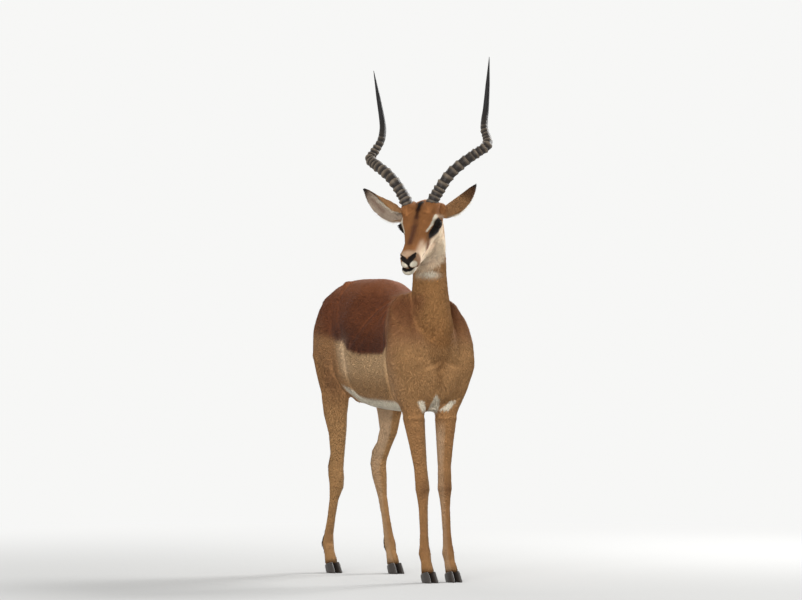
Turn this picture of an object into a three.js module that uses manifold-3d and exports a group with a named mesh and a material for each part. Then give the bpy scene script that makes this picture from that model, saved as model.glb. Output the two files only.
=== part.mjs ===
// Life-size standing impala ram (Aepyceros melampus), head raised and turned to its right.
// Millimetres, +Z up. The animal faces -Y, its left side is +X, and it stands on z = 0.
// The body is swept through named stations, joined into one form and then parted by thin cuts
// into the pieces a person would name. Eyes, horns and hooves are pieces of their own.

import * as THREE from "three";
import { mergeVertices } from "three/addons/utils/BufferGeometryUtils.js";
import Module from "manifold-3d";

const wasm = await Module();
wasm.setup();

// ---- driving dimensions --------------------------------------------------------------------
const WITHERS = 888; // shoulder height
const GAP = 0.3; // clearance between neighbouring pieces
const SLIVER = 0.02;
const LEFT = 1;
const RIGHT = -1;
const FRONT = new THREE.Vector3(0, -1, 0);
const UP = new THREE.Vector3(0, 0, 1);

const HEAD_AT = [172, 5, 1116]; // forward, left, up of the joint between skull and neck
const HEAD_PITCH = 31; // the face's axis points this far below the horizon
const HEAD_TURN = 47; // to the animal's right of where the body points
const HEAD_ROLL = 6; // left side higher

const EYE = { forward: 88, out: 51, up: 17, radius: 16.5 };
const HORN_SEAT = { forward: 42, out: 40, up: 58 }; // centre of a horn's base on the skull
const HORN_RINGS = 19;
const RINGED_SHARE = 0.66; // of a horn's length, from its base
const EAR_ROOT = { forward: 20, out: 52, up: 24 };
const EAR_WALL = 2.6; // half its thickness

// ---- solids --------------------------------------------------------------------------------
const radians = THREE.MathUtils.degToRad;

// Forward, left and up of the animal as a point.
const place = (forward, left, up) => new THREE.Vector3(left, -forward, up);

function solidOf(geometry) {
  const bare = new THREE.BufferGeometry();
  bare.setAttribute("position", geometry.getAttribute("position"));
  bare.setIndex(geometry.getIndex());
  const merged = mergeVertices(bare, 1e-3);
  const whole = new wasm.Mesh({
    numProp: 3,
    vertProperties: merged.attributes.position.array,
    triVerts: new Uint32Array(merged.index.array),
  });
  return new wasm.Manifold(whole);
}

// Slivers shorter than SLIVER, left where cuts cross, are closed up.
function geometryOf(solid) {
  const mesh = solid.asOriginal().simplify(SLIVER).getMesh();
  const points = new Float32Array(mesh.numVert * 3);
  for (let i = 0; i < mesh.numVert; i++) {
    points.set(mesh.vertProperties.subarray(i * mesh.numProp, i * mesh.numProp + 3), i * 3);
  }
  const geometry = new THREE.BufferGeometry();
  geometry.setAttribute("position", new THREE.BufferAttribute(points, 3));
  geometry.setIndex(new THREE.BufferAttribute(mesh.triVerts, 1));
  geometry.computeVertexNormals();
  return geometry;
}

const joined = (solids) => solids.reduce((sum, solid) => sum.add(solid));

// ---- sweeping ------------------------------------------------------------------------------
// A number or a list of numbers, carried smoothly through the stations.
function between(values, t) {
  const last = values.length - 1;
  const i = Math.min(Math.floor(t * last), last - 1);
  const [a, b, c, d] = [i - 1, i, i + 1, i + 2].map(
    (n) => values[THREE.MathUtils.clamp(n, 0, last)],
  );
  const s = t * last - i;
  const spline = (p, q, r, w) =>
    q + 0.5 * s * (r - p + s * (2 * p - 5 * q + 4 * r - w + s * (3 * (q - r) + w - p)));
  return Array.isArray(b) ? b.map((_, n) => spline(a[n], b[n], c[n], d[n])) : spline(a, b, c, d);
}

// The stretched tube that passes through stations. Each has its centre, its half-width, how far
// it reaches on the side that `toward` names and on the other side, and how square it is. The
// rings are square to the path unless `axis` says what they are square to.
function sweep({ stations, toward, sides, axis, outline = roundedOutline, grow = 0 }) {
  const geometry = new THREE.CylinderGeometry(1, 1, 1, sides, stations.length - 1);
  const points = geometry.getAttribute("position");
  const centre = (t) => new THREE.Vector3(...between(stations.map((s) => s.at.toArray()), t));
  for (let i = 0; i < points.count; i++) {
    const t = THREE.MathUtils.clamp(0.5 - points.getY(i), 0, 1);
    const rim = Math.hypot(points.getX(i), points.getZ(i)) > 0.5;
    const angle = Math.atan2(points.getZ(i), points.getX(i));
    const path = centre(Math.min(t + 1e-3, 1)).sub(centre(Math.max(t - 1e-3, 0))).normalize();
    const along = axis ?? path;
    const turn = between(stations.map((s) => s.turn ?? 0), t);
    const front = toward.clone().applyAxisAngle(new THREE.Vector3(0, 0, 1), radians(turn));
    front.addScaledVector(along, -front.dot(along)).normalize();
    const across = along.clone().cross(front);
    const [u, v] = rim ? outline(stations, t, angle, grow) : [0, 0];
    const p = centre(t).addScaledVector(across, u).addScaledVector(front, v);
    if (grow && (t === 0 || t === 1)) p.addScaledVector(along, t === 0 ? -grow : grow);
    points.setXYZ(i, p.x, p.y, p.z);
  }
  const solid = solidOf(geometry);
  if (solid.volume() > 0) return solid;
  flip(geometry);
  return solidOf(geometry);
}

function flip(geometry) {
  const index = geometry.getIndex().array;
  for (let i = 0; i < index.length; i += 3) {
    [index[i + 1], index[i + 2]] = [index[i + 2], index[i + 1]];
  }
}

// An egg-shaped ring: `half` wide each way, `ahead` and `behind` deep, squarer where square > 2.
function roundedOutline(stations, t, angle, grow) {
  const size = (key) => between(stations.map((s) => s[key]), t) + grow;
  const square = between(stations.map((s) => s.square ?? [2, 2]), t);
  const [c, s] = [Math.cos(angle), Math.sin(angle)];
  const power = 2 / (s > 0 ? square[0] : square[1]);
  const depth = s > 0 ? size("ahead") : size("behind");
  return [
    size("half") * Math.sign(c) * Math.abs(c) ** power,
    depth * Math.sign(s) * Math.abs(s) ** power,
  ];
}

const ring = (at, half, ahead, behind, more = {}) => ({ at, half, ahead, behind, ...more });

// A block that holds everything inside an outline drawn on the animal's side, [forward, up].
function sideBlock(outline, from, to, grow = 0) {
  const shape = new THREE.Shape(outline.map(([forward, up]) => new THREE.Vector2(-forward, up)));
  const block = new THREE.ExtrudeGeometry(shape, { depth: to - from, bevelEnabled: false });
  const turned = new THREE.Matrix4().set(0, 0, 1, from, 1, 0, 0, 0, 0, 1, 0, 0, 0, 0, 0, 1);
  block.applyMatrix4(turned);
  block.computeBoundingBox();
  const middle = block.boundingBox.getCenter(new THREE.Vector3());
  const size = block.boundingBox.getSize(new THREE.Vector3());
  const scale = new THREE.Vector3(1, 1, 1).addScaledVector(
    new THREE.Vector3(1 / size.x, 1 / size.y, 1 / size.z),
    2 * grow,
  );
  block.translate(...middle.clone().negate().toArray());
  block.scale(...scale.toArray());
  block.translate(...middle.toArray());
  block.setIndex([...Array(block.getAttribute("position").count).keys()]);
  return solidOf(block);
}

// ---- trunk ---------------------------------------------------------------------------------
// forward, top, bottom, half-width, height of the widest level, squareness of the back
const TRUNK = [
  [282, 718, 688, 14, 703, 2],
  [273, 752, 664, 44, 702, 2],
  [257, 784, 638, 72, 700, 2],
  [242, 808, 598, 94, 696, 2],
  [226, 832, 550, 110, 690, 2.1],
  [190, 864, 519, 121, 684, 2.3],
  [130, WITHERS, 510, 128, 684, 2.4],
  [60, 882, 508, 131, 680, 2],
  [-15, 893, 510, 136, 676, 2],
  [-90, 913, 513, 140, 678, 2.1],
  [-165, 929, 524, 138, 692, 2.4],
  [-235, 933, 546, 126, 715, 2.4],
  [-300, 930, 576, 110, 738, 2.2],
  [-355, 922, 606, 102, 755, 2],
  [-405, 905, 636, 92, 768, 1.9],
  [-440, 878, 664, 74, 772, 1.9],
  [-462, 844, 696, 48, 768, 2],
  [-471, 808, 728, 18, 766, 2],
];

const trunkForm = sweep({
  stations: TRUNK.map(([forward, top, bottom, half, middle, back]) =>
    ring(place(forward, 0, middle), half, top - middle, middle - bottom, { square: [back, 2.15] }),
  ),
  toward: UP,
  sides: 16,
});

// ---- neck ----------------------------------------------------------------------------------
// forward, left, up, half-width, throat side, nape side, turn of the throat to the right
const NECK = [
  [170, 0, 640, 52, 58, 90, 0],
  [185, 0, 715, 60, 104, 112, 0],
  [190, 0, 790, 62, 98, 104, 0],
  [190, 0, 850, 57, 86, 88, 8],
  [189, 0, 910, 53, 73, 76, 16],
  [186, 0, 970, 52, 66, 68, 26],
  [180, -1, 1030, 53, 64, 62, 36],
  [173, 0, 1085, 50, 58, 46, 42],
  [172, 2, 1122, 40, 42, 34, HEAD_TURN],
  [171, 4, 1142, 22, 24, 20, HEAD_TURN],
];

const neckForm = sweep({
  stations: NECK.map(([forward, left, up, half, throat, nape, turn]) =>
    ring(place(forward, left, up), half, throat, nape, { turn: -turn }),
  ),
  toward: FRONT,
  sides: 16,
});

// ---- head ----------------------------------------------------------------------------------
// In the head's own frame the face points along -Y and the crown up +Z, from the skull's joint.
const headFrame = new THREE.Matrix4()
  .makeTranslation(place(...HEAD_AT))
  .multiply(new THREE.Matrix4().makeRotationZ(radians(-HEAD_TURN)))
  .multiply(new THREE.Matrix4().makeRotationY(radians(-HEAD_ROLL)))
  .multiply(new THREE.Matrix4().makeRotationX(radians(HEAD_PITCH)));
const onHead = (solid) => solid.transform(headFrame.elements);

// forward, crown side, jaw side, half-width, level of the widest line, squareness up and down
const SKULL = [
  [-22, 34, -14, 22, 8, 2, 2],
  [-12, 50, -32, 42, 8, 2, 2],
  [12, 61, -52, 50, 8, 2.2, 2],
  [42, 66, -66, 57, 8, 2.6, 1.9],
  [72, 63, -70, 60, 12, 2.6, 1.7],
  [98, 54, -67, 57, 12, 2.4, 1.6],
  [122, 45, -60, 48, 6, 2.3, 1.7],
  [150, 37, -52, 38, 0, 2.2, 1.9],
  [180, 31, -46, 32, -6, 2.2, 2.1],
  [210, 28, -42, 30, -8, 2.3, 2.2],
  [238, 24, -38, 31, -10, 2.4, 2.4],
  [256, 17, -33, 28, -10, 2.4, 2.4],
  [267, 8, -27, 19, -11, 2.1, 2.2],
  [272, 0, -21, 10, -11, 2, 2],
];
// The lower jaw, pushed to the right in chewing: forward, left, top, bottom, half-width
const JAW = [
  [40, 0, 0, -68, 34],
  [80, 0, -20, -74, 38],
  [120, -1, -24, -70, 32],
  [160, -4, -24, -64, 25],
  [200, -8, -24, -60, 20],
  [232, -12, -25, -61, 21],
  [252, -15, -27, -60, 20],
  [263, -16, -32, -53, 12],
];

const alongHead = (stations) =>
  sweep({ stations, toward: UP, sides: 12 });
const skullForm = alongHead(
  SKULL.map(([forward, crown, jaw, half, level, above, below]) =>
    ring(place(forward, 0, level), half, crown - level, level - jaw, { square: [above, below] }),
  ),
);
const jawForm = alongHead(
  JAW.map(([forward, left, top, bottom, half]) => {
    const middle = (top + bottom) / 2;
    return ring(place(forward, left, middle), half, top - middle, middle - bottom);
  }),
);

function ball(forward, out, up, radii, [across, along] = [10, 6]) {
  const sphere = new THREE.SphereGeometry(1, across, along);
  sphere.rotateZ(Math.PI / 2);
  sphere.scale(...radii);
  sphere.translate(...place(forward, out, up).toArray());
  return solidOf(sphere);
}

// The bony rim round each eye stands proud of the skull.
const orbits = [LEFT, RIGHT].map((side) =>
  ball(EYE.forward - 4, side * (EYE.out - 6), EYE.up, [20, 29, 24]),
);
// The horns rise from a raised block of the skull.
const hornPedestals = [LEFT, RIGHT].map((side) =>
  ball(HORN_SEAT.forward + 5, side * (HORN_SEAT.out - 4), HORN_SEAT.up - 3, [26, 35, 24]),
);
// A bulb of muscle holds the root of each ear.
const earBulbs = [LEFT, RIGHT].map((side) =>
  ball(EAR_ROOT.forward - 5, side * (EAR_ROOT.out - 9), EAR_ROOT.up - 4, [26, 26, 26]),
);
const headForm = onHead(
  joined([skullForm, jawForm, ...orbits, ...hornPedestals, ...earBulbs]),
);

const eyeball = (side, grow) =>
  onHead(ball(EYE.forward, side * EYE.out, EYE.up, Array(3).fill(EYE.radius + grow)));

// ---- ears ----------------------------------------------------------------------------------
// A leaf-shaped cup: share of its length, half-width of the blade, how far it is rolled up
const EAR = [
  [0, 15, 150],
  [0.12, 19, 130],
  [0.28, 25, 100],
  [0.45, 28, 82],
  [0.62, 26, 72],
  [0.78, 20, 62],
  [0.9, 12, 55],
  [1, 3, 50],
];

// Half the ring runs along the outer face and half back along the hollow one.
function cuppedOutline(stations, t, angle, grow) {
  const half = between(stations.map((s) => s.half), t);
  const roll = radians(between(stations.map((s) => s.roll), t));
  const across = Math.cos(angle);
  const wall = Math.min(EAR_WALL, half * 0.6) + grow;
  const radius = half / Math.sin(Math.min(roll, Math.PI / 2));
  const rim = Math.abs(across) > 0.9 ? (1.5 * grow) / radius : 0;
  const reach = roll * across + rim * Math.sign(across);
  const r = radius + wall * Math.sign(Math.sin(angle)) * Math.abs(Math.sin(angle)) ** 0.6;
  return [r * Math.sin(reach), radius - r * Math.cos(reach)];
}

// Both ears and horns are drawn for a level face, so they are turned back by its pitch.
const unpitched = new THREE.Matrix4().makeRotationX(radians(-HEAD_PITCH));
const fromLevel = (forward, out, up) => place(forward, out, up).applyMatrix4(unpitched);

// `tip` is how far forward, out and up of its root an ear ends, `open` is where its hollow faces
// and `sag` is how far its middle hangs.
function ear(side, { tip, open, sag }, grow) {
  const root = place(EAR_ROOT.forward, side * EAR_ROOT.out, EAR_ROOT.up);
  const way = fromLevel(tip[0], side * tip[1], tip[2]);
  const bow = fromLevel(-8, 0, -sag);
  const spine = new THREE.CatmullRomCurve3(
    [0, 0.33, 0.66, 1].map((share) =>
      root.clone().addScaledVector(way, share).addScaledVector(bow, 4 * share * (1 - share)),
    ),
  );
  return onHead(
    sweep({
      stations: EAR.map(([share, half, roll]) => ({ at: spine.getPointAt(share), half, roll })),
      toward: fromLevel(open[0], side * open[1], open[2]),
      sides: 14,
      outline: cuppedOutline,
      grow,
    }),
  );
}

const EARS = {
  left: { tip: [-106, 82, 69], open: [-0.75, 0.1, -0.65], sag: 4 },
  right: { tip: [30, 126, 89], open: [0.9, 0.1, -0.42], sag: 21 },
};

// ---- horns ---------------------------------------------------------------------------------
// The lyre from its seat: back, out and up of a level head.
const HORN = [
  [-6, -4, -16],
  [-2, 1, 10],
  [17, 23, 48],
  [33, 49, 84],
  [58, 82, 115],
  [87, 120, 142],
  [118, 150, 164],
  [146, 144, 188],
  [170, 130, 218],
  [190, 127, 250],
  [203, 130, 282],
  [213, 138, 344],
  [221, 146, 407],
  [225, 150, 440],
];
const HORN_RADII = [19.5, 18.5, 17.5, 16.2, 13, 10, 6.8, 1.8]; // evenly spaced, base to tip

// Where the shoulders and hollows of the rings fall, then the smooth tip.
const hornShares = [...Array(HORN_RINGS).keys()].flatMap((ring) => {
  const share = (step) => ((ring + step) / HORN_RINGS) * RINGED_SHARE;
  return [[share(0), -1], [share(0.72), 1]];
});
for (let step = 0; step <= 7; step++) {
  hornShares.push([RINGED_SHARE + (1 - RINGED_SHARE) * (step / 7), 0]);
}

function horn(side, grow) {
  const seat = place(HORN_SEAT.forward, side * HORN_SEAT.out, HORN_SEAT.up);
  const spine = new THREE.CatmullRomCurve3(
    HORN.map(([back, out, up]) => fromLevel(-back, side * out, up).add(seat)),
  );
  const stations = hornShares.map(([share, ridge]) => {
    const fade = THREE.MathUtils.smoothstep(RINGED_SHARE - share, 0, 0.1);
    const radius = between(HORN_RADII, share) * (1 + 0.055 * ridge * fade);
    return ring(spine.getPointAt(share), radius, radius * 1.04, radius);
  });
  return onHead(
    sweep({ stations, toward: FRONT, sides: 10, grow }),
  );
}

// ---- legs ----------------------------------------------------------------------------------
// forward, out, up, half-width, front half, back half
const SHOULDER = [
  [116, 50, 866, 18, 28, 26],
  [138, 80, 824, 34, 46, 44],
  [162, 94, 768, 43, 60, 58],
  [184, 97, 708, 46, 70, 70],
  [198, 89, 650, 45, 70, 72],
  [198, 78, 592, 41, 58, 66],
  [192, 66, 540, 34, 42, 51],
  [192, 56, 490, 22, 24, 28],
];
const FOREARM = [
  [200, 70, 620, 38, 50, 62],
  [193, 60, 550, 35, 43, 55],
  [191, 54, 490, 31, 35, 41],
  [198, 47, 420, 25, 28, 29],
  [206, 41, 350, 20.5, 20, 20],
  [211, 39, 308, 21.5, 20, 18],
  [214, 38, 284, 22.5, 20, 20],
  [216, 38, 255, 17.5, 15.5, 17],
  [219, 38, 222, 14.5, 13, 14.5],
  [226, 39, 150, 13, 12, 14],
  [231, 40, 112, 14.5, 13, 17],
  [233, 40, 90, 18.5, 16, 20],
  [242, 40, 64, 16.5, 14, 15],
  [253, 41, 36, 19, 18, 20],
  [257, 41, 22, 18, 18, 18],
];
const HAUNCH = [
  [-330, 46, 872, 24, 36, 38],
  [-330, 66, 826, 40, 70, 72],
  [-322, 76, 770, 48, 104, 106],
  [-308, 81, 708, 50, 122, 114],
  [-292, 85, 650, 48, 108, 98],
  [-274, 88, 595, 43, 86, 80],
  [-262, 86, 545, 34, 64, 60],
  [-258, 84, 500, 20, 32, 30],
];
const SHANK = [
  [-282, 88, 610, 40, 70, 74],
  [-262, 88, 555, 36, 66, 70],
  [-256, 84, 500, 30, 58, 58],
  [-268, 79, 445, 24, 40, 40],
  [-288, 76, 395, 19, 29, 36],
  [-299, 75, 360, 18, 26, 54],
  [-301, 74, 336, 20, 27, 50],
  [-298, 74, 300, 21.5, 27, 27],
  [-299, 75, 240, 14.5, 14, 16],
  [-299, 76, 175, 13, 12.5, 14],
  [-299, 77, 120, 14.5, 13, 17],
  [-298, 77, 92, 18.5, 16, 21],
  [-289, 77, 66, 16.5, 14, 15],
  [-277, 77, 38, 19, 18, 20],
  [-273, 77, 24, 18, 18, 18],
];

// Moves the stations under `from` forward by up to `reach` at the foot.
const stepped = (stations, from, reach) =>
  stations.map(([forward, out, up, ...sizes]) => {
    const share = Math.max(0, (from - up) / (from - 92));
    return [forward + reach * Math.min(1, share), out, up, ...sizes];
  });

// Moves the middle of a leg forward and down, most at `level`.
const bowed = (stations, level, spread, reach, drop = 0) =>
  stations.map(([forward, out, up, ...sizes]) => {
    const share = Math.max(0, 1 - Math.abs(up - level) / spread);
    return [forward + reach * share, out, up - drop * share, ...sizes];
  });

const limb = (stations, side, sides) =>
  sweep({
    stations: stations.map(([forward, out, up, half, front, back]) =>
      ring(place(forward, side * out, up), half, front, back),
    ),
    toward: FRONT,
    sides,
  });

const LIMBS = {
  foreleg_left: { side: LEFT, upper: SHOULDER, lower: FOREARM, foot: [227, 41] },
  foreleg_right: { side: RIGHT, upper: SHOULDER, lower: FOREARM, foot: [227, 41] },
  hindleg_left: {
    side: LEFT,
    upper: HAUNCH,
    lower: stepped(bowed(SHANK, 430, 100, 26), 300, 66),
    foot: [-232, 77],
  },
  hindleg_right: {
    side: RIGHT,
    upper: bowed(HAUNCH, 500, 120, -34),
    lower: stepped(bowed(bowed(SHANK, 500, 120, -34), 340, 130, 4, 36), 300, -58),
    foot: [-356, 77],
  },
};

// ---- feet ----------------------------------------------------------------------------------
const HOOF = { length: 56, half: 10.5, split: 1.6, top: 40, slope: 0.32 };

// One claw: the sole's long drop shape below, the narrower coronet above.
function claw([forward, out], side, inner) {
  const away = side * out + inner * (HOOF.half + HOOF.split);
  const levels = [
    [0, 0.96],
    [3, 1],
    [18, 0.95],
    [HOOF.top + 14, 0.78],
  ];
  const stations = levels.map(([up, scale]) =>
    ring(
      place(forward + 44 - up * 0.55, away, up),
      HOOF.half * scale,
      HOOF.length * 0.56 * scale,
      HOOF.length * 0.44 * scale,
      { square: [1.6, 2.3] },
    ),
  );
  return sweep({ stations, toward: FRONT, sides: 10, axis: new THREE.Vector3(0, 0, -1) });
}

// The slanted line of the coronet, where horn meets skin.
function coronet([forward], raise) {
  const line = (ahead) => HOOF.top - 12 + HOOF.slope * ahead + raise;
  return sideBlock(
    [
      [forward - 60, -40],
      [forward + 110, -40],
      [forward + 110, line(85)],
      [forward - 60, line(-85)],
    ],
    -200,
    200,
  );
}

// ---- tail ----------------------------------------------------------------------------------
const TAIL = [
  [-436, 0, 868, 12, 14, 14],
  [-462, 0, 858, 14, 13, 14],
  [-481, 0, 828, 15, 11, 12],
  [-487, 0, 775, 18, 10, 11],
  [-486, 0, 710, 20, 10, 12],
  [-482, 0, 645, 20, 9, 12],
  [-478, 0, 595, 15, 7, 10],
  [-476, 0, 568, 6, 4, 5],
];
const tail = (grow) =>
  sweep({
    stations: TAIL.map(([forward, left, up, half, front, back]) =>
      ring(place(forward, left, up), half + grow, front + grow, back + grow),
    ),
    toward: FRONT,
    sides: 10,
  });

// ---- joining and parting -------------------------------------------------------------------
// The head's is drawn on its own side, forward and up of its joint, and the others on the body's.
const HEAD_CUT = [[-90, -20], [15, -96], [105, -84], [330, -90], [330, 140], [-90, 140]];
const CUTS = {
  neck: [[60, 905], [330, 690], [600, 640], [600, 1300], [60, 1300]],
  foreleg: [[60, 503], [330, 503], [400, -30], [0, -30]],
  hindleg: [[-160, 470], [-185, 590], [-225, 640], [-400, 690], [-520, 690], [-520, -30], [-100, -30]],
};

const flesh = joined([
  trunkForm,
  neckForm,
  headForm,
  ...Object.values(LIMBS).flatMap(({ side, upper, lower }) => [
    limb(upper, side, 12),
    limb(lower, side, 12),
  ]),
]);

const solids = {};
let rest = flesh;
// Takes the piece inside a block out of what is left, with a thin gap round it.
function part(name, outline, { from = -400, to = 400, seat = (block) => block } = {}) {
  solids[name] = rest.intersect(seat(sideBlock(outline, from, to)));
  rest = rest.subtract(seat(sideBlock(outline, from, to, GAP + 0.1)));
}
part("head", HEAD_CUT, { seat: onHead });
part("neck", CUTS.neck);
part("foreleg_left", CUTS.foreleg, { from: 0 });
part("foreleg_right", CUTS.foreleg, { to: 0 });
part("hindleg_left", CUTS.hindleg, { from: 0.2 });
part("hindleg_right", CUTS.hindleg, { to: -0.2 });
solids.trunk = rest;

for (const [name, { side, foot }] of Object.entries(LIMBS)) {
  const leg = solids[name].subtract(coronet(foot, 0));
  solids[name] = leg;
  for (const [where, inner] of [["outer", side], ["inner", -side]]) {
    const hoof = claw(foot, side, inner).intersect(coronet(foot, -GAP - 0.1));
    solids[`hoof_${name.replace("leg", "")}_${where}`] = hoof;
  }
}

for (const [name, side] of [["left", LEFT], ["right", RIGHT]]) {
  solids.head = solids.head.subtract(eyeball(side, GAP + 0.1)).subtract(horn(side, GAP + 0.1));
  solids[`eye_${name}`] = eyeball(side, 0);
  solids[`horn_${name}`] = horn(side, 0);
  solids.head = solids.head.subtract(ear(side, EARS[name], GAP + 0.3));
  solids[`ear_${name}`] = ear(side, EARS[name], 0);
}
solids.tail = tail(0);
solids.trunk = solids.trunk.subtract(tail(GAP + 0.1));

// ---- the model -----------------------------------------------------------------------------
const COAT = new THREE.MeshStandardMaterial({ color: 0xa8703f, roughness: 0.85 });
const FINISHES = {
  eye: new THREE.MeshStandardMaterial({ color: 0x0d0806, roughness: 0.08 }),
  horn: new THREE.MeshStandardMaterial({ color: 0x4a4038, roughness: 0.55 }),
  hoof: new THREE.MeshStandardMaterial({ color: 0x1d1916, roughness: 0.45 }),
};

const model = new THREE.Group();
for (const [name, solid] of Object.entries(solids)) {
  const mesh = new THREE.Mesh(geometryOf(solid), FINISHES[name.split("_")[0]] ?? COAT);
  mesh.name = name;
  model.add(mesh);
}
// The origin is the middle of the floor that the whole animal covers.
const box = new THREE.Box3().setFromObject(model);
const middle = box.getCenter(new THREE.Vector3());
model.position.set(-middle.x, -middle.y, -box.min.z);

export default model;
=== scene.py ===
# Life-size impala ram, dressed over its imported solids: one skin with the coat on it, and horns,
# eyes and hooves of their own. Metres; it faces -Y, its left is +X, and it stands on z = 0.
import math

import bmesh
import bpy
import numpy as np
from mathutils import Matrix, Vector
from mathutils.bvhtree import BVHTree


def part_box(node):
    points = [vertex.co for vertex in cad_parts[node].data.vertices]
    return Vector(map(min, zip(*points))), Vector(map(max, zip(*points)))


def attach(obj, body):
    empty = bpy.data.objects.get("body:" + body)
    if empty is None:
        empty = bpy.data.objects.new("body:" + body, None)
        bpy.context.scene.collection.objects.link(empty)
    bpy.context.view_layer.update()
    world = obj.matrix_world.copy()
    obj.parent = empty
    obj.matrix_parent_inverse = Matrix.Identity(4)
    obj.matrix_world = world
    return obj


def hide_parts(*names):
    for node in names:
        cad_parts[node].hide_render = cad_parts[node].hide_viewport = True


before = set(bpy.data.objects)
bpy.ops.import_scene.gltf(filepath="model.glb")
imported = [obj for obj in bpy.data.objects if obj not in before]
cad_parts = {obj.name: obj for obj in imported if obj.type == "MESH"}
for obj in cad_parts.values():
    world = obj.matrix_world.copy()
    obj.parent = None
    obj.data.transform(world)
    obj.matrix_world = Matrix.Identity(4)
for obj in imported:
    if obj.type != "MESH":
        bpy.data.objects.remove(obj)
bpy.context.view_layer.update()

# ---- the skin --------------------------------------------------------------------------------
# One hide, thin and close over muscle and bone, drawn from nose to tail with no seam. It is grown
# from the solids of the flesh: joined into one body, smoothed as flesh is, then given the forms
# that show through it, such as the shoulder blade, the hip bone and the tendons of the legs.
FLESH = [
    "head", "neck", "trunk", "tail", "foreleg_left", "foreleg_right",
    "hindleg_left", "hindleg_right", "ear_left", "ear_right",
]
CLOSE_CUTS = 0.0004  # each side of a cut is swollen by this, so that the pieces meet
GRAIN = 0.0024  # size of the skin's facets before it is thinned


def for_flesh(**kinds):
    """Values given for each kind of flesh, left and right alike, in the order of FLESH."""
    return np.array([kinds[node.partition("_")[0]] for node in FLESH])


def merged_copy(node):
    """A copy of a solid's mesh with its loose triangles joined up."""
    shape = bmesh.new()
    shape.from_mesh(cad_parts[node].data)
    bmesh.ops.remove_doubles(shape, verts=shape.verts, dist=1e-5)
    bmesh.ops.recalc_face_normals(shape, faces=shape.faces)
    return shape


def piece(name, shape):
    """A new object from a bmesh, placed by its mesh alone."""
    mesh = bpy.data.meshes.new(name)
    shape.to_mesh(mesh)
    shape.free()
    made = bpy.data.objects.new(name, mesh)
    bpy.context.scene.collection.objects.link(made)
    return made


def apply_modifiers(made):
    """Bakes a piece's modifiers into its mesh."""
    state = bpy.context.evaluated_depsgraph_get()
    solid = bpy.data.meshes.new_from_object(made.evaluated_get(state))
    made.modifiers.clear()
    made.data = solid
    return made


def rows_of(items, field, width, kind):
    """One field of a mesh's points, edges or corners, as rows."""
    flat = np.empty(len(items) * width, kind)
    items.foreach_get(field, flat)
    return flat.reshape(-1, width)


def points_of(mesh):
    return rows_of(mesh.vertices, "co", 3, np.float32).astype(float)


def normals_of(mesh):
    return rows_of(mesh.vertex_normals, "vector", 3, np.float32).astype(float)


def edges_of(mesh):
    return rows_of(mesh.edges, "vertices", 2, np.int32)


def move_points(mesh, points):
    mesh.vertices.foreach_set("co", points.astype(np.float32).ravel())
    mesh.update()


# The head's own stations: millimetres forward, out to the left and up, from its joint with the
# neck. Its side axis runs through both eyes.
EYES_AHEAD = 88
EYES_UP = 17
FACE_PITCH = math.radians(31)  # how far the nose points down


def middle(node):
    low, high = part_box(node)
    return (low + high) / 2


side = (middle("eye_left") - middle("eye_right")).normalized()
level = Vector((-side.y, side.x, 0)).normalized()
crown = side.cross(level)
behind = level * math.cos(FACE_PITCH) + crown * math.sin(FACE_PITCH)
above = crown * math.cos(FACE_PITCH) - level * math.sin(FACE_PITCH)
head_turn = np.array([-behind, side, above])
skull_joint = (middle("eye_left") + middle("eye_right")) / 2
skull_joint += (behind * EYES_AHEAD - above * EYES_UP) / 1000


def head_stations(points):
    return (points - np.array(skull_joint)) @ head_turn.T * 1000


EYES = ("eye_left", "eye_right")
EYE_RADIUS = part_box("eye_left")[1].z - middle("eye_left").z
LID = 0.0019  # the lids' thickness over the eyeball

flesh = bmesh.new()
solid_points, solid_faces, solid_owner = [], [], []
for number, node in enumerate(FLESH):
    part = merged_copy(node)
    part.normal_update()
    for corner in part.verts:
        corner.co += corner.normal * CLOSE_CUTS
    start = len(solid_points)
    part.verts.index_update()
    solid_points += [corner.co.copy() for corner in part.verts]
    solid_faces += [[start + corner.index for corner in face.verts] for face in part.faces]
    solid_owner += [number] * len(part.faces)
    swollen = bpy.data.meshes.new(node + "_swollen")
    part.to_mesh(swollen)
    part.free()
    flesh.from_mesh(swollen)
    bpy.data.meshes.remove(swollen)
for eye in EYES:
    bmesh.ops.create_uvsphere(
        flesh, u_segments=32, v_segments=20, radius=EYE_RADIUS + LID,
        matrix=Matrix.Translation(middle(eye)),
    )
solid_owner = np.array(solid_owner)
solid_tree = BVHTree.FromPolygons(solid_points, solid_faces)

skin = piece("skin", flesh)
remesh = skin.modifiers.new("one body", "REMESH")
remesh.mode = "VOXEL"
remesh.voxel_size = GRAIN
remesh.use_smooth_shade = True
apply_modifiers(skin)

# The solids' own stations: millimetres ahead of the middle of the trunk, to the left, and up.
REAR_STATION = 498  # the back of the tail, behind the middle of the trunk
MIDLINE = (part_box("trunk")[0].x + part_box("trunk")[1].x) / 2
MID_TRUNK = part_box("tail")[1].y - REAR_STATION / 1000


def stations(points):
    """Columns of millimetres ahead, left and up for points of the frame."""
    ahead = (MID_TRUNK - points[:, 1]) * 1000
    left = (points[:, 0] - MIDLINE) * 1000
    return np.column_stack([ahead, left, points[:, 2] * 1000])


def at_station(ahead, left, up):
    return Vector((MIDLINE + left / 1000, MID_TRUNK - ahead / 1000, up / 1000))


def degrees(edges, points):
    """How many neighbours each point has."""
    return np.bincount(edges.ravel(), minlength=len(points)).astype(float)


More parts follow.
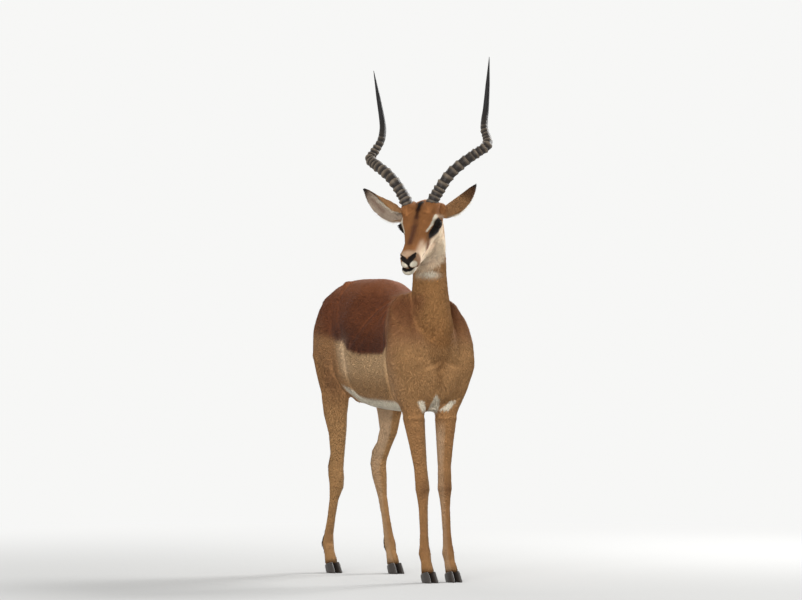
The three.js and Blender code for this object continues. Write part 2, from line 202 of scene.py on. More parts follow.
def neighbour_mean(values, edges, degree):
    """The mean of each point's neighbours, for a column or several."""
    columns = values.reshape(len(degree), -1)
    out = np.empty_like(columns)
    for n in range(columns.shape[1]):
        column = columns[:, n]
        total = np.bincount(edges[:, 0], column[edges[:, 1]], len(degree))
        total += np.bincount(edges[:, 1], column[edges[:, 0]], len(degree))
        out[:, n] = total / degree
    return out.reshape(values.shape)


def owners(points):
    """The number of the piece of flesh that lies nearest to each point."""
    return np.array([solid_owner[solid_tree.find_nearest(Vector(p))[2]] for p in points])


def spread(values, edges, degree, rounds):
    """Evens values out over the skin, a facet further each round."""
    for _ in range(rounds):
        values = 0.5 * values + 0.5 * neighbour_mean(values, edges, degree)
    return values


# How far the smoothing reaches on each piece of flesh, in millimetres
SOFTNESS = for_flesh(head=4.5, neck=10, trunk=17, tail=4, foreleg=3.6, hindleg=4.4, ear=1.6)
SMOOTHING_ROUNDS = 110

points = points_of(skin.data)
edges = edges_of(skin.data)
degree = degrees(edges, points)
owner = owners(points)
reach = SOFTNESS[owner]
# A round of full strength carries a form over about 0.7 of a facet.
strength = (reach / 1000) ** 2 / (SMOOTHING_ROUNDS * 0.5 * GRAIN**2)
strength = np.minimum(spread(strength, edges, degree, 12), 0.95)[:, None]
for _ in range(SMOOTHING_ROUNDS):
    points += strength * (neighbour_mean(points, edges, degree) - points)
move_points(skin.data, points)


def to_eye(points):
    """How far each point is from the nearer eye's centre."""
    gaps = [np.linalg.norm(points - np.array(middle(eye)), axis=1) for eye in EYES]
    return np.minimum(*gaps)


# The lids and the muzzle get facets a quarter of the size of the rest.
for lid_zone, muzzle_zone in ((0.034, 205), (0.026, 232)):
    shape = bmesh.new()
    shape.from_mesh(skin.data)
    points = points_of(skin.data)
    forward, left, up = head_stations(points).T
    muzzle = (forward > muzzle_zone) & (np.abs(left) < 60) & (up > -90)
    fine = (to_eye(points) < lid_zone) | muzzle
    shape.verts.ensure_lookup_table()
    close = [edge for edge in shape.edges if all(fine[end.index] for end in edge.verts)]
    bmesh.ops.subdivide_edges(shape, edges=close, cuts=1, use_grid_fill=True)
    shape.to_mesh(skin.data)
    shape.free()
points = points_of(skin.data)
edges = edges_of(skin.data)
degree = degrees(edges, points)
owner = owners(points)


def mirrored(places):
    """Stations with the right side laid over the left."""
    return np.column_stack([places[:, 0], np.abs(places[:, 1]), places[:, 2]])


def rise(places, at, radii):
    """1 at a station, falling off softly with distance."""
    return np.exp(-(((places - np.array(at)) / np.array(radii)) ** 2).sum(1))


def ridge(places, width, path):
    """1 along a line of stations, falling off softly over its width."""
    nearest = np.full(len(places), 1e9)
    for start, end in zip(np.array(path[:-1], float), np.array(path[1:], float)):
        run = end - start
        share = np.clip((places - start) @ run / (run @ run), 0, 1)
        nearest = np.minimum(nearest, ((places - start - share[:, None] * run) ** 2).sum(1))
    return np.exp(-nearest / width**2)


# Forms of the body: rise in millimetres, station (ahead, out, up), radii
BODY_FORMS = [
    (11, (-284, 52, 902), (15, 20, 16)),  # point of the hip
    (6, (-452, 44, 850), (22, 20, 30)),  # pin bone
    (3, (-340, 0, 930), (80, 18, 20)),  # sacrum
    (-7, (-205, 118, 842), (44, 40, 46)),  # hollow of the flank
    (-4, (-372, 78, 872), (40, 34, 34)),  # between hip and pin bone
    (4, (-240, 124, 700), (52, 34, 80)),  # thigh
    (5, (-190, 122, 612), (30, 28, 40)),  # stifle
    (6, (252, 104, 664), (34, 36, 42)),  # point of the shoulder
    (4, (150, 130, 668), (34, 30, 60)),  # triceps
    (5, (142, 96, 556), (20, 22, 26)),  # elbow
    (6, (252, 40, 612), (40, 26, 46)),  # breast muscles
    (3, (120, 0, 888), (60, 22, 26)),  # withers
    (-3, (40, 128, 700), (40, 30, 90)),  # behind the elbow
]
# Lines of the body: rise in millimetres, width, path of stations
BODY_LINES = [
    # behind the shoulder and the upper arm
    (-2.5, 13, [(60, 58, 868), (124, 112, 830), (150, 132, 782), (164, 142, 722), (152, 136, 676),
                (136, 118, 614), (124, 98, 566)]),
    (1.7, 17, [(84, 66, 866), (146, 118, 824), (172, 136, 782), (188, 142, 722), (176, 136, 676),
               (158, 118, 614), (146, 98, 566)]),
    (1.8, 11, [(176, 118, 800), (208, 138, 740), (204, 138, 680), (190, 124, 620),
               (176, 104, 560)]),
    # the fold of the flank, before the thigh
    (-1.9, 16, [(-262, 78, 884), (-256, 94, 846), (-220, 112, 808), (-160, 131, 748),
                (-126, 138, 700), (-120, 132, 634), (-120, 112, 586), (-108, 98, 552)]),
    (1.4, 20, [(-284, 70, 886), (-282, 92, 846), (-250, 112, 806), (-192, 131, 745),
               (-158, 138, 700), (-150, 132, 632), (-148, 112, 584), (-134, 98, 550)]),
    # loose folds that run back from the shoulder over the ribs
    (-2.7, 9, [(56, 57, 862), (33, 79, 841), (-10, 109, 801), (-40, 128, 763), (-84, 135, 722)]),
    (2.3, 10, [(70, 66, 856), (47, 90, 832), (8, 118, 790), (-22, 132, 752), (-66, 137, 712)]),
    (-2.6, 9, [(84, 84, 842), (60, 108, 812), (24, 126, 772), (-10, 134, 736), (-40, 138, 704)]),
    (1.6, 10, [(94, 93, 834), (70, 115, 800), (36, 130, 764), (4, 136, 726)]),
    (-2.0, 9, [(104, 104, 824), (84, 124, 786), (52, 134, 748), (22, 138, 712)]),
    # between the breast muscles, under the neck's foot, and before the shoulder blade
    (-5, 11, [(290, 0, 668), (262, 0, 640), (246, 0, 606), (232, 0, 566), (206, 0, 530)]),
    (-2.4, 11, [(292, 0, 680), (270, 26, 664), (254, 58, 656)]),
    (-3.0, 12, [(214, 66, 846), (240, 72, 800), (258, 76, 740), (262, 70, 690)]),
]
# Forms of the head, in its own stations: forward, out, up
HEAD_FORMS = [
    (3.5, (84, 52, 40), (20, 10, 9)),  # brow
    (-4, (128, 44, 10), (15, 12, 11)),  # hollow before the eye
    (3.5, (66, 48, -34), (30, 14, 24)),  # cheek
    (-3, (105, 40, -42), (16, 14, 14)),  # hollow of the jaw
    (-2.5, (118, 0, 46), (26, 12, 14)),  # dished forehead
    (2, (185, 0, 31), (34, 11, 10)),  # bridge of the nose
    (-2.6, (196, 27, 2), (26, 10, 9)),  # hollow beside it
    (3.5, (248, 22, 8), (12, 9, 9)),  # wings of the nostrils
    (5.5, (252, 18, -20), (16, 12, 10)),  # upper lips
    (5, (244, 18, -38), (17, 12, 9)),  # lower lips
    (-4, (272, 0, -14), (9, 4, 9)),  # the cleft of the lip
]
# The fur stands up along the front rim of the right ear's root.
EAR_FORMS = [
    (8, (38, 84, 58), (16, 15, 14)),
    (7, (30, 103, 70), (16, 17, 14)),
    (4, (20, 124, 80), (16, 17, 13)),
]
HEAD_LINES = [
    (2, 7, [(96, 54, -10), (130, 42, -16), (160, 32, -16)]),  # crest of the cheek
    (1.6, 5, [(112, 15, 46), (160, 13, 34), (222, 12, 26)]),  # edge of the nose bone
    (-6, 3.4, [(268, 9, 2), (262, 15, 8), (254, 21, 9), (247, 26, 5)]),  # nostril
    (-2.5, 3.4, [(262, 17, -31), (240, 26, -32), (215, 28, -30), (196, 27, -27)]),  # mouth
]

points = points_of(skin.data)
normals = normals_of(skin.data)
body = mirrored(stations(points))
face = mirrored(head_stations(points))
shares = spread(np.eye(len(FLESH))[owner], edges, degree, 10)
on_head = shares[:, FLESH.index("head")]
lift = np.zeros(len(points))
for fall, forms, places, share in (
    (rise, BODY_FORMS, body, 1 - on_head), (ridge, BODY_LINES, body, 1 - on_head),
    (rise, HEAD_FORMS, face, on_head), (ridge, HEAD_LINES, face, on_head),
    (rise, EAR_FORMS, face, shares[:, FLESH.index("ear_right")]),
):
    for height, *form in forms:
        lift += height * fall(places, *form) * share

# The lower legs: heights of the cannon bone's ends, and how far behind its middle the groove
# before the flexor tendon lies
CANNONS = {
    "foreleg_left": (112, 262, 3.0), "foreleg_right": (112, 262, 3.0),
    "hindleg_left": (118, 300, 3.5), "hindleg_right": (118, 300, 3.5),
}
TENDON_GROOVE = 1.7
TENDON_WIDTH = 3.2

whole = stations(points)
leg_middle = np.zeros((len(points), 2))
leg_share = np.zeros(len(points))
for leg, (low, high, back) in CANNONS.items():
    mine = (owner == FLESH.index(leg)) & (whole[:, 2] < high + 60)
    rungs = np.arange(5, high + 60, 10)
    rung = np.clip((whole[:, 2] / 10).astype(int), 0, len(rungs) - 1)
    for column in (0, 1):
        total = np.bincount(rung[mine], whole[mine, column], len(rungs))
        count = np.maximum(np.bincount(rung[mine], minlength=len(rungs)), 1)
        leg_middle[mine, column] = np.interp(whole[mine, 2], rungs, total / count)
    along = (whole[:, 2] > low) & (whole[:, 2] < high)
    ends = np.minimum(whole[:, 2] - low, high - whole[:, 2]) / 25
    behind_bone = whole[:, 0] - leg_middle[:, 0] + back
    groove = np.exp(-((behind_bone / TENDON_WIDTH) ** 2))
    leg_share += mine * np.clip(ends, 0, 1) * along * groove
lift -= TENDON_GROOVE * leg_share

# The skin lies under its coat by the coat's depth, in millimetres
COAT_DEPTH = for_flesh(head=0.7, neck=2.2, trunk=2.0, tail=2.0, foreleg=1.0, hindleg=1.1, ear=0.5)
lift -= shares @ COAT_DEPTH
points = points + normals * lift[:, None] / 1000
move_points(skin.data, points)

# The lids: the skin is drawn over each eyeball and opens on it in an almond, its corners to the
# front and a little down, and to the back
EYE_LOOKS = 24  # degrees to the front of straight out
ALMOND = (0.0145, 0.0096)  # half its length and half its height
ALMOND_TILT = 14  # degrees
LID_DROP = 0.0014  # how far the opening lies below the middle of the eyeball
SOCKET_DEPTH = 0.004  # how far the skin dips under the eyeball's surface inside the opening


def almond_frame(hand):
    """Out of an eye, along its opening to the front, and across the opening to the brow."""
    look = math.radians(EYE_LOOKS)
    out = np.array(side * hand * math.cos(look) - behind * math.sin(look))
    tilt = math.radians(ALMOND_TILT)
    forward = np.cross(out, np.array(above))
    forward *= np.sign(forward @ np.array(-behind))
    upright = np.array(above) * math.cos(tilt) + forward * math.sin(tilt)
    return out, forward * math.cos(tilt) - np.array(above) * math.sin(tilt), upright


for eye, hand in zip(EYES, (1, -1)):
    centre = np.array(middle(eye))
    out, forward, upright = almond_frame(hand)
    offset = points - centre
    gap = np.linalg.norm(offset, axis=1)
    along, high = offset @ forward / ALMOND[0], (offset @ upright + LID_DROP) / ALMOND[1]
    # The corners are drawn out to points.
    opening = np.sqrt(high**2 * (1 + 0.9 * along**2) + along**2)
    near = (gap < EYE_RADIUS * 1.45) & (offset @ out > 0)
    lid = EYE_RADIUS + LID * np.clip(1.25 - 0.6 * np.clip(opening - 1, 0, 1), 0, 2)
    inside = np.clip((1.06 - opening) / 0.16, 0, 1)
    wanted = lid * (1 - inside) + (EYE_RADIUS - SOCKET_DEPTH) * inside
    hold = near * np.clip((1.9 - opening) / 0.5, 0, 1)
    points += (offset / np.maximum(gap, 1e-6)[:, None]) * ((wanted - gap) * hold)[:, None]
move_points(skin.data, points)

# The skin is thinned to what it needs, with the head and the ears kept fine.
SKIN_FACES = 190000
THINNING_BIAS = 3e-6  # how much rather the body is thinned than the head
HEAD_ZONES = [FLESH.index(node) for node in ("head", "ear_left", "ear_right")]
dense_tree = BVHTree.FromPolygons(
    [Vector(p) for p in points], [tuple(face.vertices) for face in skin.data.polygons]
)
dense_corner = np.array([face.vertices[0] for face in skin.data.polygons])
dense_shares = spread(np.eye(len(FLESH))[owner], edges, degree, 14)
thinning = skin.vertex_groups.new(name="thinned")
on_body = dense_shares[:, HEAD_ZONES].sum(1) < 0.4
thinning.add(np.nonzero(on_body)[0].tolist(), 1.0, "REPLACE")
thinning.add(np.nonzero(~on_body)[0].tolist(), 0.3, "REPLACE")
faces_now = sum(len(face.vertices) - 2 for face in skin.data.polygons)
thin = skin.modifiers.new("thinned", "DECIMATE")
thin.ratio = SKIN_FACES / faces_now
thin.use_collapse_triangulate = True
thin.vertex_group = thinning.name
thin.vertex_group_factor = THINNING_BIAS
apply_modifiers(skin)
skin.data.shade_smooth()

points = points_of(skin.data)
normals = normals_of(skin.data)
edges = edges_of(skin.data)
degree = degrees(edges, points)
nearest = np.array([dense_tree.find_nearest(Vector(p))[2] for p in points])
shares = dense_shares[dense_corner[nearest]]
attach(skin, "root")
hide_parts(*FLESH)

# ---- the markings, with painted light and shade -----------------------------------------------
# The coat is a reddish saddle over fawn sides and a white belly, with black on the crown, the
# nose, the ear tips, the rump and the backs of the hind feet. Painted highlights and painted shade
# are laid in with these colours, and the skin is dyed as the hair is.


def tone(red, green, blue):
    """A coat colour as light, from levels of 0 to 255."""
    levels = np.array([red, green, blue]) / 255
    return np.where(levels <= 0.04045, levels / 12.92, ((levels + 0.055) / 1.055) ** 2.4)


def step(values, start, end):
    """Rises softly from 0 at the start to 1 at the end."""
    share = np.clip((values - start) / (end - start), 0, 1)
    return share * share * (3 - 2 * share)


def drop(values, start, end):
    """Falls softly from 1 at the start to 0 at the end."""
    return 1 - step(values, start, end)


WHITE = tone(226, 216, 196)
BLACK = tone(30, 25, 22)
SADDLE = tone(120, 70, 44)
SADDLE_PAINTED_HIGHLIGHT = tone(164, 104, 68)
SADDLE_PAINTED_SHADE = tone(90, 52, 36)
FLANK = tone(196, 162, 122)
FLANK_LOW = tone(164, 126, 86)
THIGH = tone(170, 126, 84)
SHOULDER = tone(154, 110, 75)
UPPER_ARM = tone(178, 138, 98)
NECK = tone(172, 127, 81)
NECK_LOW = tone(156, 111, 69)
BREAST = tone(178, 136, 92)
FORELEG = tone(174, 130, 86)
HINDLEG = tone(184, 142, 96)
FACE = tone(162, 110, 67)
EAR_FAWN = tone(166, 124, 84)
DARK_BROWN = tone(60, 34, 22)
NOSE_BROWN = tone(98, 62, 46)
MUZZLE = tone(158, 122, 92)
CREAM = tone(240, 217, 188)
EAR_GREY = tone(176, 158, 140)

# The lower edge of the saddle, by how far ahead, and the rear edge of the shoulder, by height
SADDLE_EDGE = [(-480, 700), (-420, 738), (-356, 750), (-260, 741), (-214, 736), (-128, 725),
               (-100, 704), (-57, 697), (-24, 692), (120, 696), (160, 716), (300, 716)]
SHOULDER_EDGE = [(540, 118), (566, 128), (614, 142), (676, 162), (722, 173), (782, 157),
                 (826, 125), (868, 60), (930, 60)]


def level_line(values, line):
    return np.interp(values, [at for at, _ in line], [height for _, height in line])


# Tip of each ear from its root, and where its hollow faces: forward, out and up of a level head
EAR_WAYS = {1: ((-106, 82, 69), (-0.75, 0.1, -0.65)), -1: ((30, 126, 89), (0.9, 0.1, -0.42))}
EARS = (("ear_left", 1), ("ear_right", -1))


def ear_way(hand):
    """From an ear's root to its tip, in millimetres."""
    tip = EAR_WAYS[hand][0]
    return np.array(side * tip[1] * hand - level * tip[0] + crown * tip[2])


def ear_station(points, hand):
    """Share of the ear's length, and which way its hollow faces."""
    hollow = EAR_WAYS[hand][1]
    root = np.array(skull_joint + (side * 52 * hand - behind * 20 + above * 24) / 1000)
    way = ear_way(hand) / 1000
    facing = np.array(side * hollow[1] * hand - level * hollow[0] + crown * hollow[2])
    return (points - root) @ way / (way @ way), facing / np.linalg.norm(facing)


def nose_leather(face):
    """The bare black Y of the nose: a stem up from the lip, and an arm over each nostril."""
    return sum(ridge(face, width, path) for width, path in (
        (5.6, [(263, 0, -31), (268, 0, -14), (272, 0, -4)]), (7.6, [(272, 2, -2), (265, 10, 3)]),
        (6.4, [(265, 10, 3), (258, 18, 7)]), (4.8, [(258, 18, 7), (249, 24, 10)]),
    ))


def markings_and_painted_light(points, normals, shares):
    """The coat's colour at points of the skin, with its painted highlights and painted shade."""
    whole = stations(points)
    body = mirrored(whole)
    ahead, out, up = body.T
    face_whole = head_stations(points)
    face = mirrored(face_whole)
    forward, aside, high = face.T
    outward = normals[:, 0] * np.sign(whole[:, 1])
    rearward = normals[:, 1]
    share = {node: shares[:, n] for n, node in enumerate(FLESH)}
    colours = np.tile(FLANK, (len(points), 1))

    def paint(mask, shade):
        nonlocal colours
        colours = colours + np.clip(mask, 0, 1)[:, None] * (shade - colours)

    # The body: saddle over flank, belly and thigh, and the browner shoulder and breast
    reach = level_line(up, [(540, 9), (690, 18), (760, 36), (900, 60)])
    before = step((ahead - level_line(up, SHOULDER_EDGE)) / reach, -1, 1)
    paint(drop(up, 570, 670), FLANK_LOW)
    paint(before, UPPER_ARM)
    paint(before * drop(up, 510, 610), FORELEG)
    paint(before * step(up, 640, 790), SHOULDER)
    paint(before * step(up, 730, 850) * 0.75, SADDLE)
    fold_line = level_line(up, [(540, 130), (632, 150), (690, 165), (745, 195)])
    behind_flank = step(-ahead - fold_line, -34, 40)
    paint(behind_flank * (1 - before), THIGH)
    hollow = rise(body, (-262, 126, 634), (50, 90, 52)) + rise(body, (-232, 120, 590), (40, 90, 44))
    edge = level_line(ahead, SADDLE_EDGE)
    softness = level_line(ahead, [(-420, 26), (-200, 16), (-120, 9), (300, 9)])
    saddle = step((up - edge) / softness, -1, 1) * (1 - before)
    paint(saddle, SADDLE)
    # Painted shade: the saddle darker low down, just above its lower edge, towards the front
    paint(saddle * drop(up - edge, 10, 110) * step(ahead, -270, -170), SADDLE_PAINTED_SHADE)
    paint(saddle * drop(up - edge, 0, 80) * step(-ahead, 240, 360) * 0.3, THIGH)
    # Painted highlight along the top of the back
    paint(saddle * step(up, 846, 905) * 0.6, SADDLE_PAINTED_HIGHLIGHT)
    # Painted highlight along the fold of the flank, before the thigh
    paint(ridge(body, 30, [(-138, 135, 710), (-120, 133, 650)]) * 0.22, CREAM)
    # Painted highlights along the crests of the folds, where the hair stands open and catches more
    # light.
    for height, width, path in BODY_LINES:
        if height > 0:
            paint(share["trunk"] * ridge(body, width * 0.8, path) * 0.4, colours * 1.2)
    paint(step(ahead, 190, 245) * drop(up, 700, 760) * step(up, 520, 560), BREAST)
    # Painted shade: a darker wedge down the middle of the breast, between its muscles
    throat_foot = level_line(up, [(585, 3), (640, 12), (700, 34), (760, 46)])
    painted_shade_wedge = drop(np.abs(whole[:, 1] + 8) - throat_foot, -10, 12) * step(ahead, 225, 250)
    paint(painted_shade_wedge * step(up, 575, 620) * 0.55, NECK_LOW * 0.72)
    on_trunk = share["trunk"]
    belly_edge = level_line(ahead, [(-200, 596), (-130, 580), (-90, 558), (-60, 552), (140, 546)])
    paint(on_trunk * drop(up - belly_edge, -8, 8) * drop(ahead, 105, 150), WHITE)
    inner = step(-outward, 0.15, 0.7)
    paint(on_trunk * inner * drop(up, 590, 650) * drop(ahead, 95, 140), WHITE)
    # The white diamond and the two white patches between the forelegs
    half_width = level_line(up, [(500, 4), (515, 13), (540, 17), (560, 11), (577, 0), (590, -12)])
    diamond = np.abs(whole[:, 1] + 0.42 * (up - 539)) - half_width
    paint(drop(diamond, -3, 3) * step(ahead, 120, 170), WHITE)
    slant = (out - 44) - 0.72 * (up - 537)
    patch = drop(np.abs(slant), 9, 14) * drop(np.abs(up - 538), 14, 18)
    paint(patch * step(ahead, 190, 215), WHITE)

    # The neck, and the white under the throat
    neck = share["neck"]
    paint(neck, NECK)
    paint(neck * drop(up, 700, 860), NECK_LOW)
    paint(neck * step(rearward, 0.3, 0.9) * 0.45, SADDLE)
    foot_of_neck = level_line(up, [(740, 62), (800, 60), (850, 50), (900, 34), (930, 10)])
    over = step(out - foot_of_neck, -16, 16) * drop(ahead, 235, 275) * step(up, 700, 760)
    over = np.maximum(over, drop(ahead, 120, 190)) * drop(up, 850, 905)
    paint(neck * over, SHOULDER)
    paint(neck * over * step(up, 730, 850) * 0.6, SADDLE)
    ruff = step(face_whole[:, 2], -105, -96) * step(forward, 50, 95) * drop(rearward, -0.2, 0.4)
    paint(neck * ruff * 0.95, CREAM)
    across = (whole[:, 1] + 28) / 26
    paint(neck * np.exp(-across**2 - ((up - 941) / 10) ** 2) * 1.2 * step(ahead, 180, 210), WHITE)

    # The legs, paler within
    fore = share["foreleg_left"] + share["foreleg_right"]
    hind = share["hindleg_left"] + share["hindleg_right"]
    paint(fore * drop(up, 510, 610), FORELEG)
    paint(hind, HINDLEG)
    paint(hind * step(up, 420, 620), THIGH)
    paint((hind + share["trunk"]) * hollow * 0.5 * step(out, 40, 80), SHOULDER * 0.72)
    within = step(-outward, 0.4, 0.95) * step(up, 250, 420)
    paint((0.34 * fore * drop(up, 440, 510) + 0.42 * hind) * within, CREAM)
    paint((fore + hind) * inner * 0.2 * drop(up, 250, 420), CREAM)
    paint(fore * rise(body, (238, 40, 286), (16, 20, 34)) * 0.5, NOSE_BROWN)
    shin = drop(up, 120, 260) * step(up, 70, 110)
    paint((fore + hind) * shin * step(-rearward, 0.2, 0.8) * 0.25, SHOULDER)
    over_hoof = step(rearward, -0.1, 0.5) * rise(up[:, None], (96,), (24,))
    # Painted shade, dark brown, at the back of each hock
    hock_shade = step(rearward, 0.05, 0.5) * rise(up[:, None], (348,), (34,))
    for leg in ("hindleg_left", "hindleg_right"):
        paint(share[leg] * over_hoof * 1.6, BLACK)
        paint(share[leg] * hock_shade * 0.65, DARK_BROWN)
    paint((fore + hind) * drop(up, 34, 52) * 0.55, DARK_BROWN)

    # The rump: white between two black stripes, round a tail with a black midline
    stripe_out = level_line(up, [(630, 84), (700, 80), (780, 68), (830, 52), (862, 34)])
    rump = step(rearward, 0.0, 0.4) * step(-ahead, 395, 430) * drop(out - stripe_out, -6, 2)
    paint(rump * step(up, 560, 640) * drop(up, 836, 866), WHITE)
    stripe_width = level_line(up, [(630, 1), (680, 8), (800, 9), (862, 4)])
    stripe = drop(np.abs(out - stripe_out) - stripe_width, -2, 3) * step(-ahead, 370, 400)
    paint(stripe * step(up, 632, 660) * drop(up, 850, 866) * step(rearward, -0.1, 0.2), BLACK)
    tail = share["tail"]
    paint(tail, np.where((rearward > -0.2)[:, None], THIGH, WHITE))
    paint(tail * step(np.abs(whole[:, 1]), 9, 15), WHITE)
    paint(tail * drop(np.abs(whole[:, 1]), 4, 8) * step(rearward, 0, 0.4), BLACK)
    paint(tail * drop(up, 600, 680), WHITE)

    # The face: orange-brown above, cream on the cheeks, a dark crown and a brown nose
    head = share["head"]
    paint(head, FACE)
    paint(head * drop(forward, 0, 60) * step(aside, 20, 45) * step(-high, -40, 0), NECK)
    cheek = step(aside, 16, 36) * step(-high, -6, 14) * step(forward, 4, 66)
    paint(head * cheek * 0.95, CREAM)
    paint(head * step(-high, 26, 36) * step(forward, 110, 150) * 0.9, CREAM)
    paint(head * step(-high, 44, 66) * step(forward, 16, 50) * 0.5, WHITE)
    # Painted highlight: a cream streak along the side of the muzzle
    paint(head * step(forward, 164, 194) * step(aside, 17, 30) * drop(high, 10, 26) * 0.85, CREAM)
    # Painted shade: a dark brown wedge down the face under the crest of the cheek
    painted_shade_wedge = ridge(face, 12, [(146, 37, 8), (158, 35, -6), (166, 31, -22)])
    paint(head * painted_shade_wedge * 1.1, FACE * 0.58)
    brow = ridge(face, 5.5, [(84, 53, 38), (66, 60, 31), (48, 58, 18), (34, 55, 5)])
    paint(head * brow * 0.75, CREAM)
    paint(head * ridge(face, 7.5, [(36, 0, 68), (72, 0, 62)]) * 1.2, BLACK)
    paint(head * ridge(face, 6.5, [(72, 0, 62), (104, 1, 52)]) * 0.9, DARK_BROWN)
    paint(head * ridge(face, 8, [(104, 2, 52), (134, 2, 42)]) * 0.6, NOSE_BROWN)
    paint(head * rise(face, (36, 0, 68), (13, 10, 20)) * 1.6, BLACK)
    bridge = ridge(face, 10.5, [(140, 0, 40), (176, 0, 33), (212, 0, 27)])
    paint(head * bridge * 0.9, NOSE_BROWN)
    # Black from the eye's front corner, under a white crescent
    patch_top = level_line(forward, [(60, 36), (96, 31), (112, 24), (128, 18), (138, 14), (150, 3)])
    patch_foot = level_line(forward, [(62, 4), (84, -6), (104, -8), (120, -7), (136, -4), (150, 1)])
    patch = step(high - patch_foot, -6, 4) * drop(high - patch_top, -2, 2) * step(aside, 20, 28)
    paint(head * patch * step(forward, 76, 92) * drop(forward, 145, 152), BLACK)
    for width, path in (
        (7, [(83, 54, 38), (96, 50, 35)]), (5, [(96, 50, 35), (112, 46, 30)]),
        (3.8, [(112, 46, 30), (128, 41, 26.5), (142, 36, 24)]),
    ):
        paint(head * step(ridge(face, width, path), 0.3, 0.6), WHITE)
    from_eye = to_eye(points) * 1000
    rim_width = level_line(forward - 0.4 * high, [(58, 2.6), (78, 3.4), (92, 6)])
    paint(head * np.exp(-(((from_eye - 15.5) / rim_width) ** 2)) * 1.6, BLACK)
    # The muzzle: black leather in a Y, white lips, and the mouth's gap in painted shadow
    paint(head * step(forward, 228, 246) * step(-high, -14, 0), MUZZLE)
    paint(head * step(forward, 236, 252) * step(high, 6, 14) * 0.5, CREAM)
    lip = rise(face, (269, 14.5, -14), (17, 11, 10.5))
    paint(head * step(lip, 0.25, 0.5), WHITE)
    paint(head * step(forward, 228, 244) * step(-high, 31, 38), WHITE * 0.85)
    # Painted shadow, black, in the open front of the mouth
    mouth = [(250, -32, -33), (261, -16, -36), (259, 3, -35), (245, 19, -32)]
    paint(head * step(ridge(face_whole, 6.6, mouth), 0.3, 0.6), BLACK)
    # Painted shade, dark brown, along the line of the mouth to its corners
    mouth_line = level_line(forward, [(190, -26), (215, -29), (250, -33)])
    corner = step(forward, 184, 200) * drop(forward, 246, 256) * step(aside, 10, 16)
    paint(head * corner * drop(np.abs(high - mouth_line), 1.4, 3.6), DARK_BROWN)
    paint(head * step(nose_leather(face), 0.3, 0.6), BLACK)

    # The ears: fawn outside with a dark tip and edge, greyish white within
    for node, hand in EARS:
        along, facing = ear_station(points, hand)
        ear = share[node]
        paint(ear, EAR_FAWN)
        within = step(normals @ facing, -0.05, 0.35)
        if hand == -1:
            # Its front rim is folded over, fawn above a dark line.
            rim = high - 60 - 1.12 * (aside - 104)
            within = within * drop(rim, -4, 4)
            paint(ear * step(rim, -4, 4) * step(along, 0.1, 0.3), EAR_FAWN)
            paint(ear * within, EAR_GREY)
            paint(ear * within * ridge(face, 8, [(10, 158, 80), (20, 130, 40)]) * 0.5, NOSE_BROWN)
            paint(ear * drop(np.abs(rim + 5), 3, 8) * step(along, 0.15, 0.4) * 0.85, DARK_BROWN)
            paint(ear * ridge(face, 4, [(25, 140, 34), (33, 122, 19)]), BLACK)
        else:
            paint(ear * within, EAR_GREY)
            under = step(24 + 69 * along - high, 4, 12) * step(along, 0.5, 0.72)
            paint(ear * under * 0.7, DARK_BROWN)
        paint(ear * step(along, 0.74, 0.94) * 0.75, DARK_BROWN)
        paint(ear * step(along, 0.86, 0.97), BLACK * 1.3)
    return np.clip(colours, 0, 1)


PALEST = 0.86  # no dye is lighter


def dye(mesh, colours):
    """Lays colours on a mesh's corners under the name that the coat's finish reads."""
    layer = mesh.color_attributes.new("coat", "FLOAT_COLOR", "POINT")
    rgba = np.ones((len(colours), 4), np.float32)
    rgba[:, :3] = np.minimum(colours, PALEST)
    layer.data.foreach_set("color", rgba.ravel())


# Painted shade: the hide is dyed darker than the coat, as it lies in the shade of the hair
UNDER_THE_HAIR = 0.84  # the hide's shade of the coat's colour
dye(skin.data, markings_and_painted_light(points, normals, shares) * UNDER_THE_HAIR)


def add_node(tree, kind, sockets=(), **settings):
    """A node of a finish; each socket is given a value, or the socket that feeds it."""
    made = tree.nodes.new("ShaderNode" + kind)
    for name, value in settings.items():
        setattr(made, name, value)
    for socket, value in dict(sockets).items():
        if isinstance(value, bpy.types.NodeSocket):
            tree.links.new(value, made.inputs[socket])
        else:
            made.inputs[socket].default_value = value
    return made


def new_finish(name):
    """A new material and its empty tree."""
    material = bpy.data.materials.new(name)
    material.use_nodes = True
    material.node_tree.nodes.clear()
    return material, material.node_tree


def dye_times(tree, pattern, least, most):
    """The dye of a mesh, made darker and lighter by a pattern's middle range."""
    dyed = add_node(tree, "Attribute", attribute_name="coat")
    strength = add_node(tree, "MapRange", {
        "Value": pattern, "From Min": 0.3, "From Max": 0.7, "To Min": least, "To Max": most,
    })
    tinted = add_node(tree, "Mix", {0: 1, 6: dyed.outputs["Color"], 7: strength.outputs[0]},
                  data_type="RGBA", blend_type="MULTIPLY")
    return tinted.outputs[2]


def coat_finish(name, roughness):
    """Hair or hide: its own dye, mottled finely, and matt as a short coat is."""
    material, tree = new_finish(name)
    place = add_node(tree, "TexCoord").outputs["Object"]
    mottle = add_node(tree, "TexNoise", {"Vector": place, "Scale": 46, "Detail": 5})
    surface = add_node(tree, "BsdfPrincipled", {
        "Base Color": dye_times(tree, mottle.outputs[0], 0.91, 1.08), "Roughness": roughness,
        "Sheen Roughness": 0.5, "Specular IOR Level": 0.08,
    })
    add_node(tree, "OutputMaterial", {"Surface": surface.outputs[0]})
    return material, tree, surface, place


hide, tree, surface, place = coat_finish("hide", 0.72)
nap = add_node(tree, "TexNoise", {"Vector": place, "Scale": 700})
bump = add_node(tree, "Bump", {"Height": nap.outputs[0], "Strength": 0.35, "Distance": 0.0008})
tree.links.new(bump.outputs[0], surface.inputs["Normal"])
skin.data.materials.clear()
skin.data.materials.append(hide)

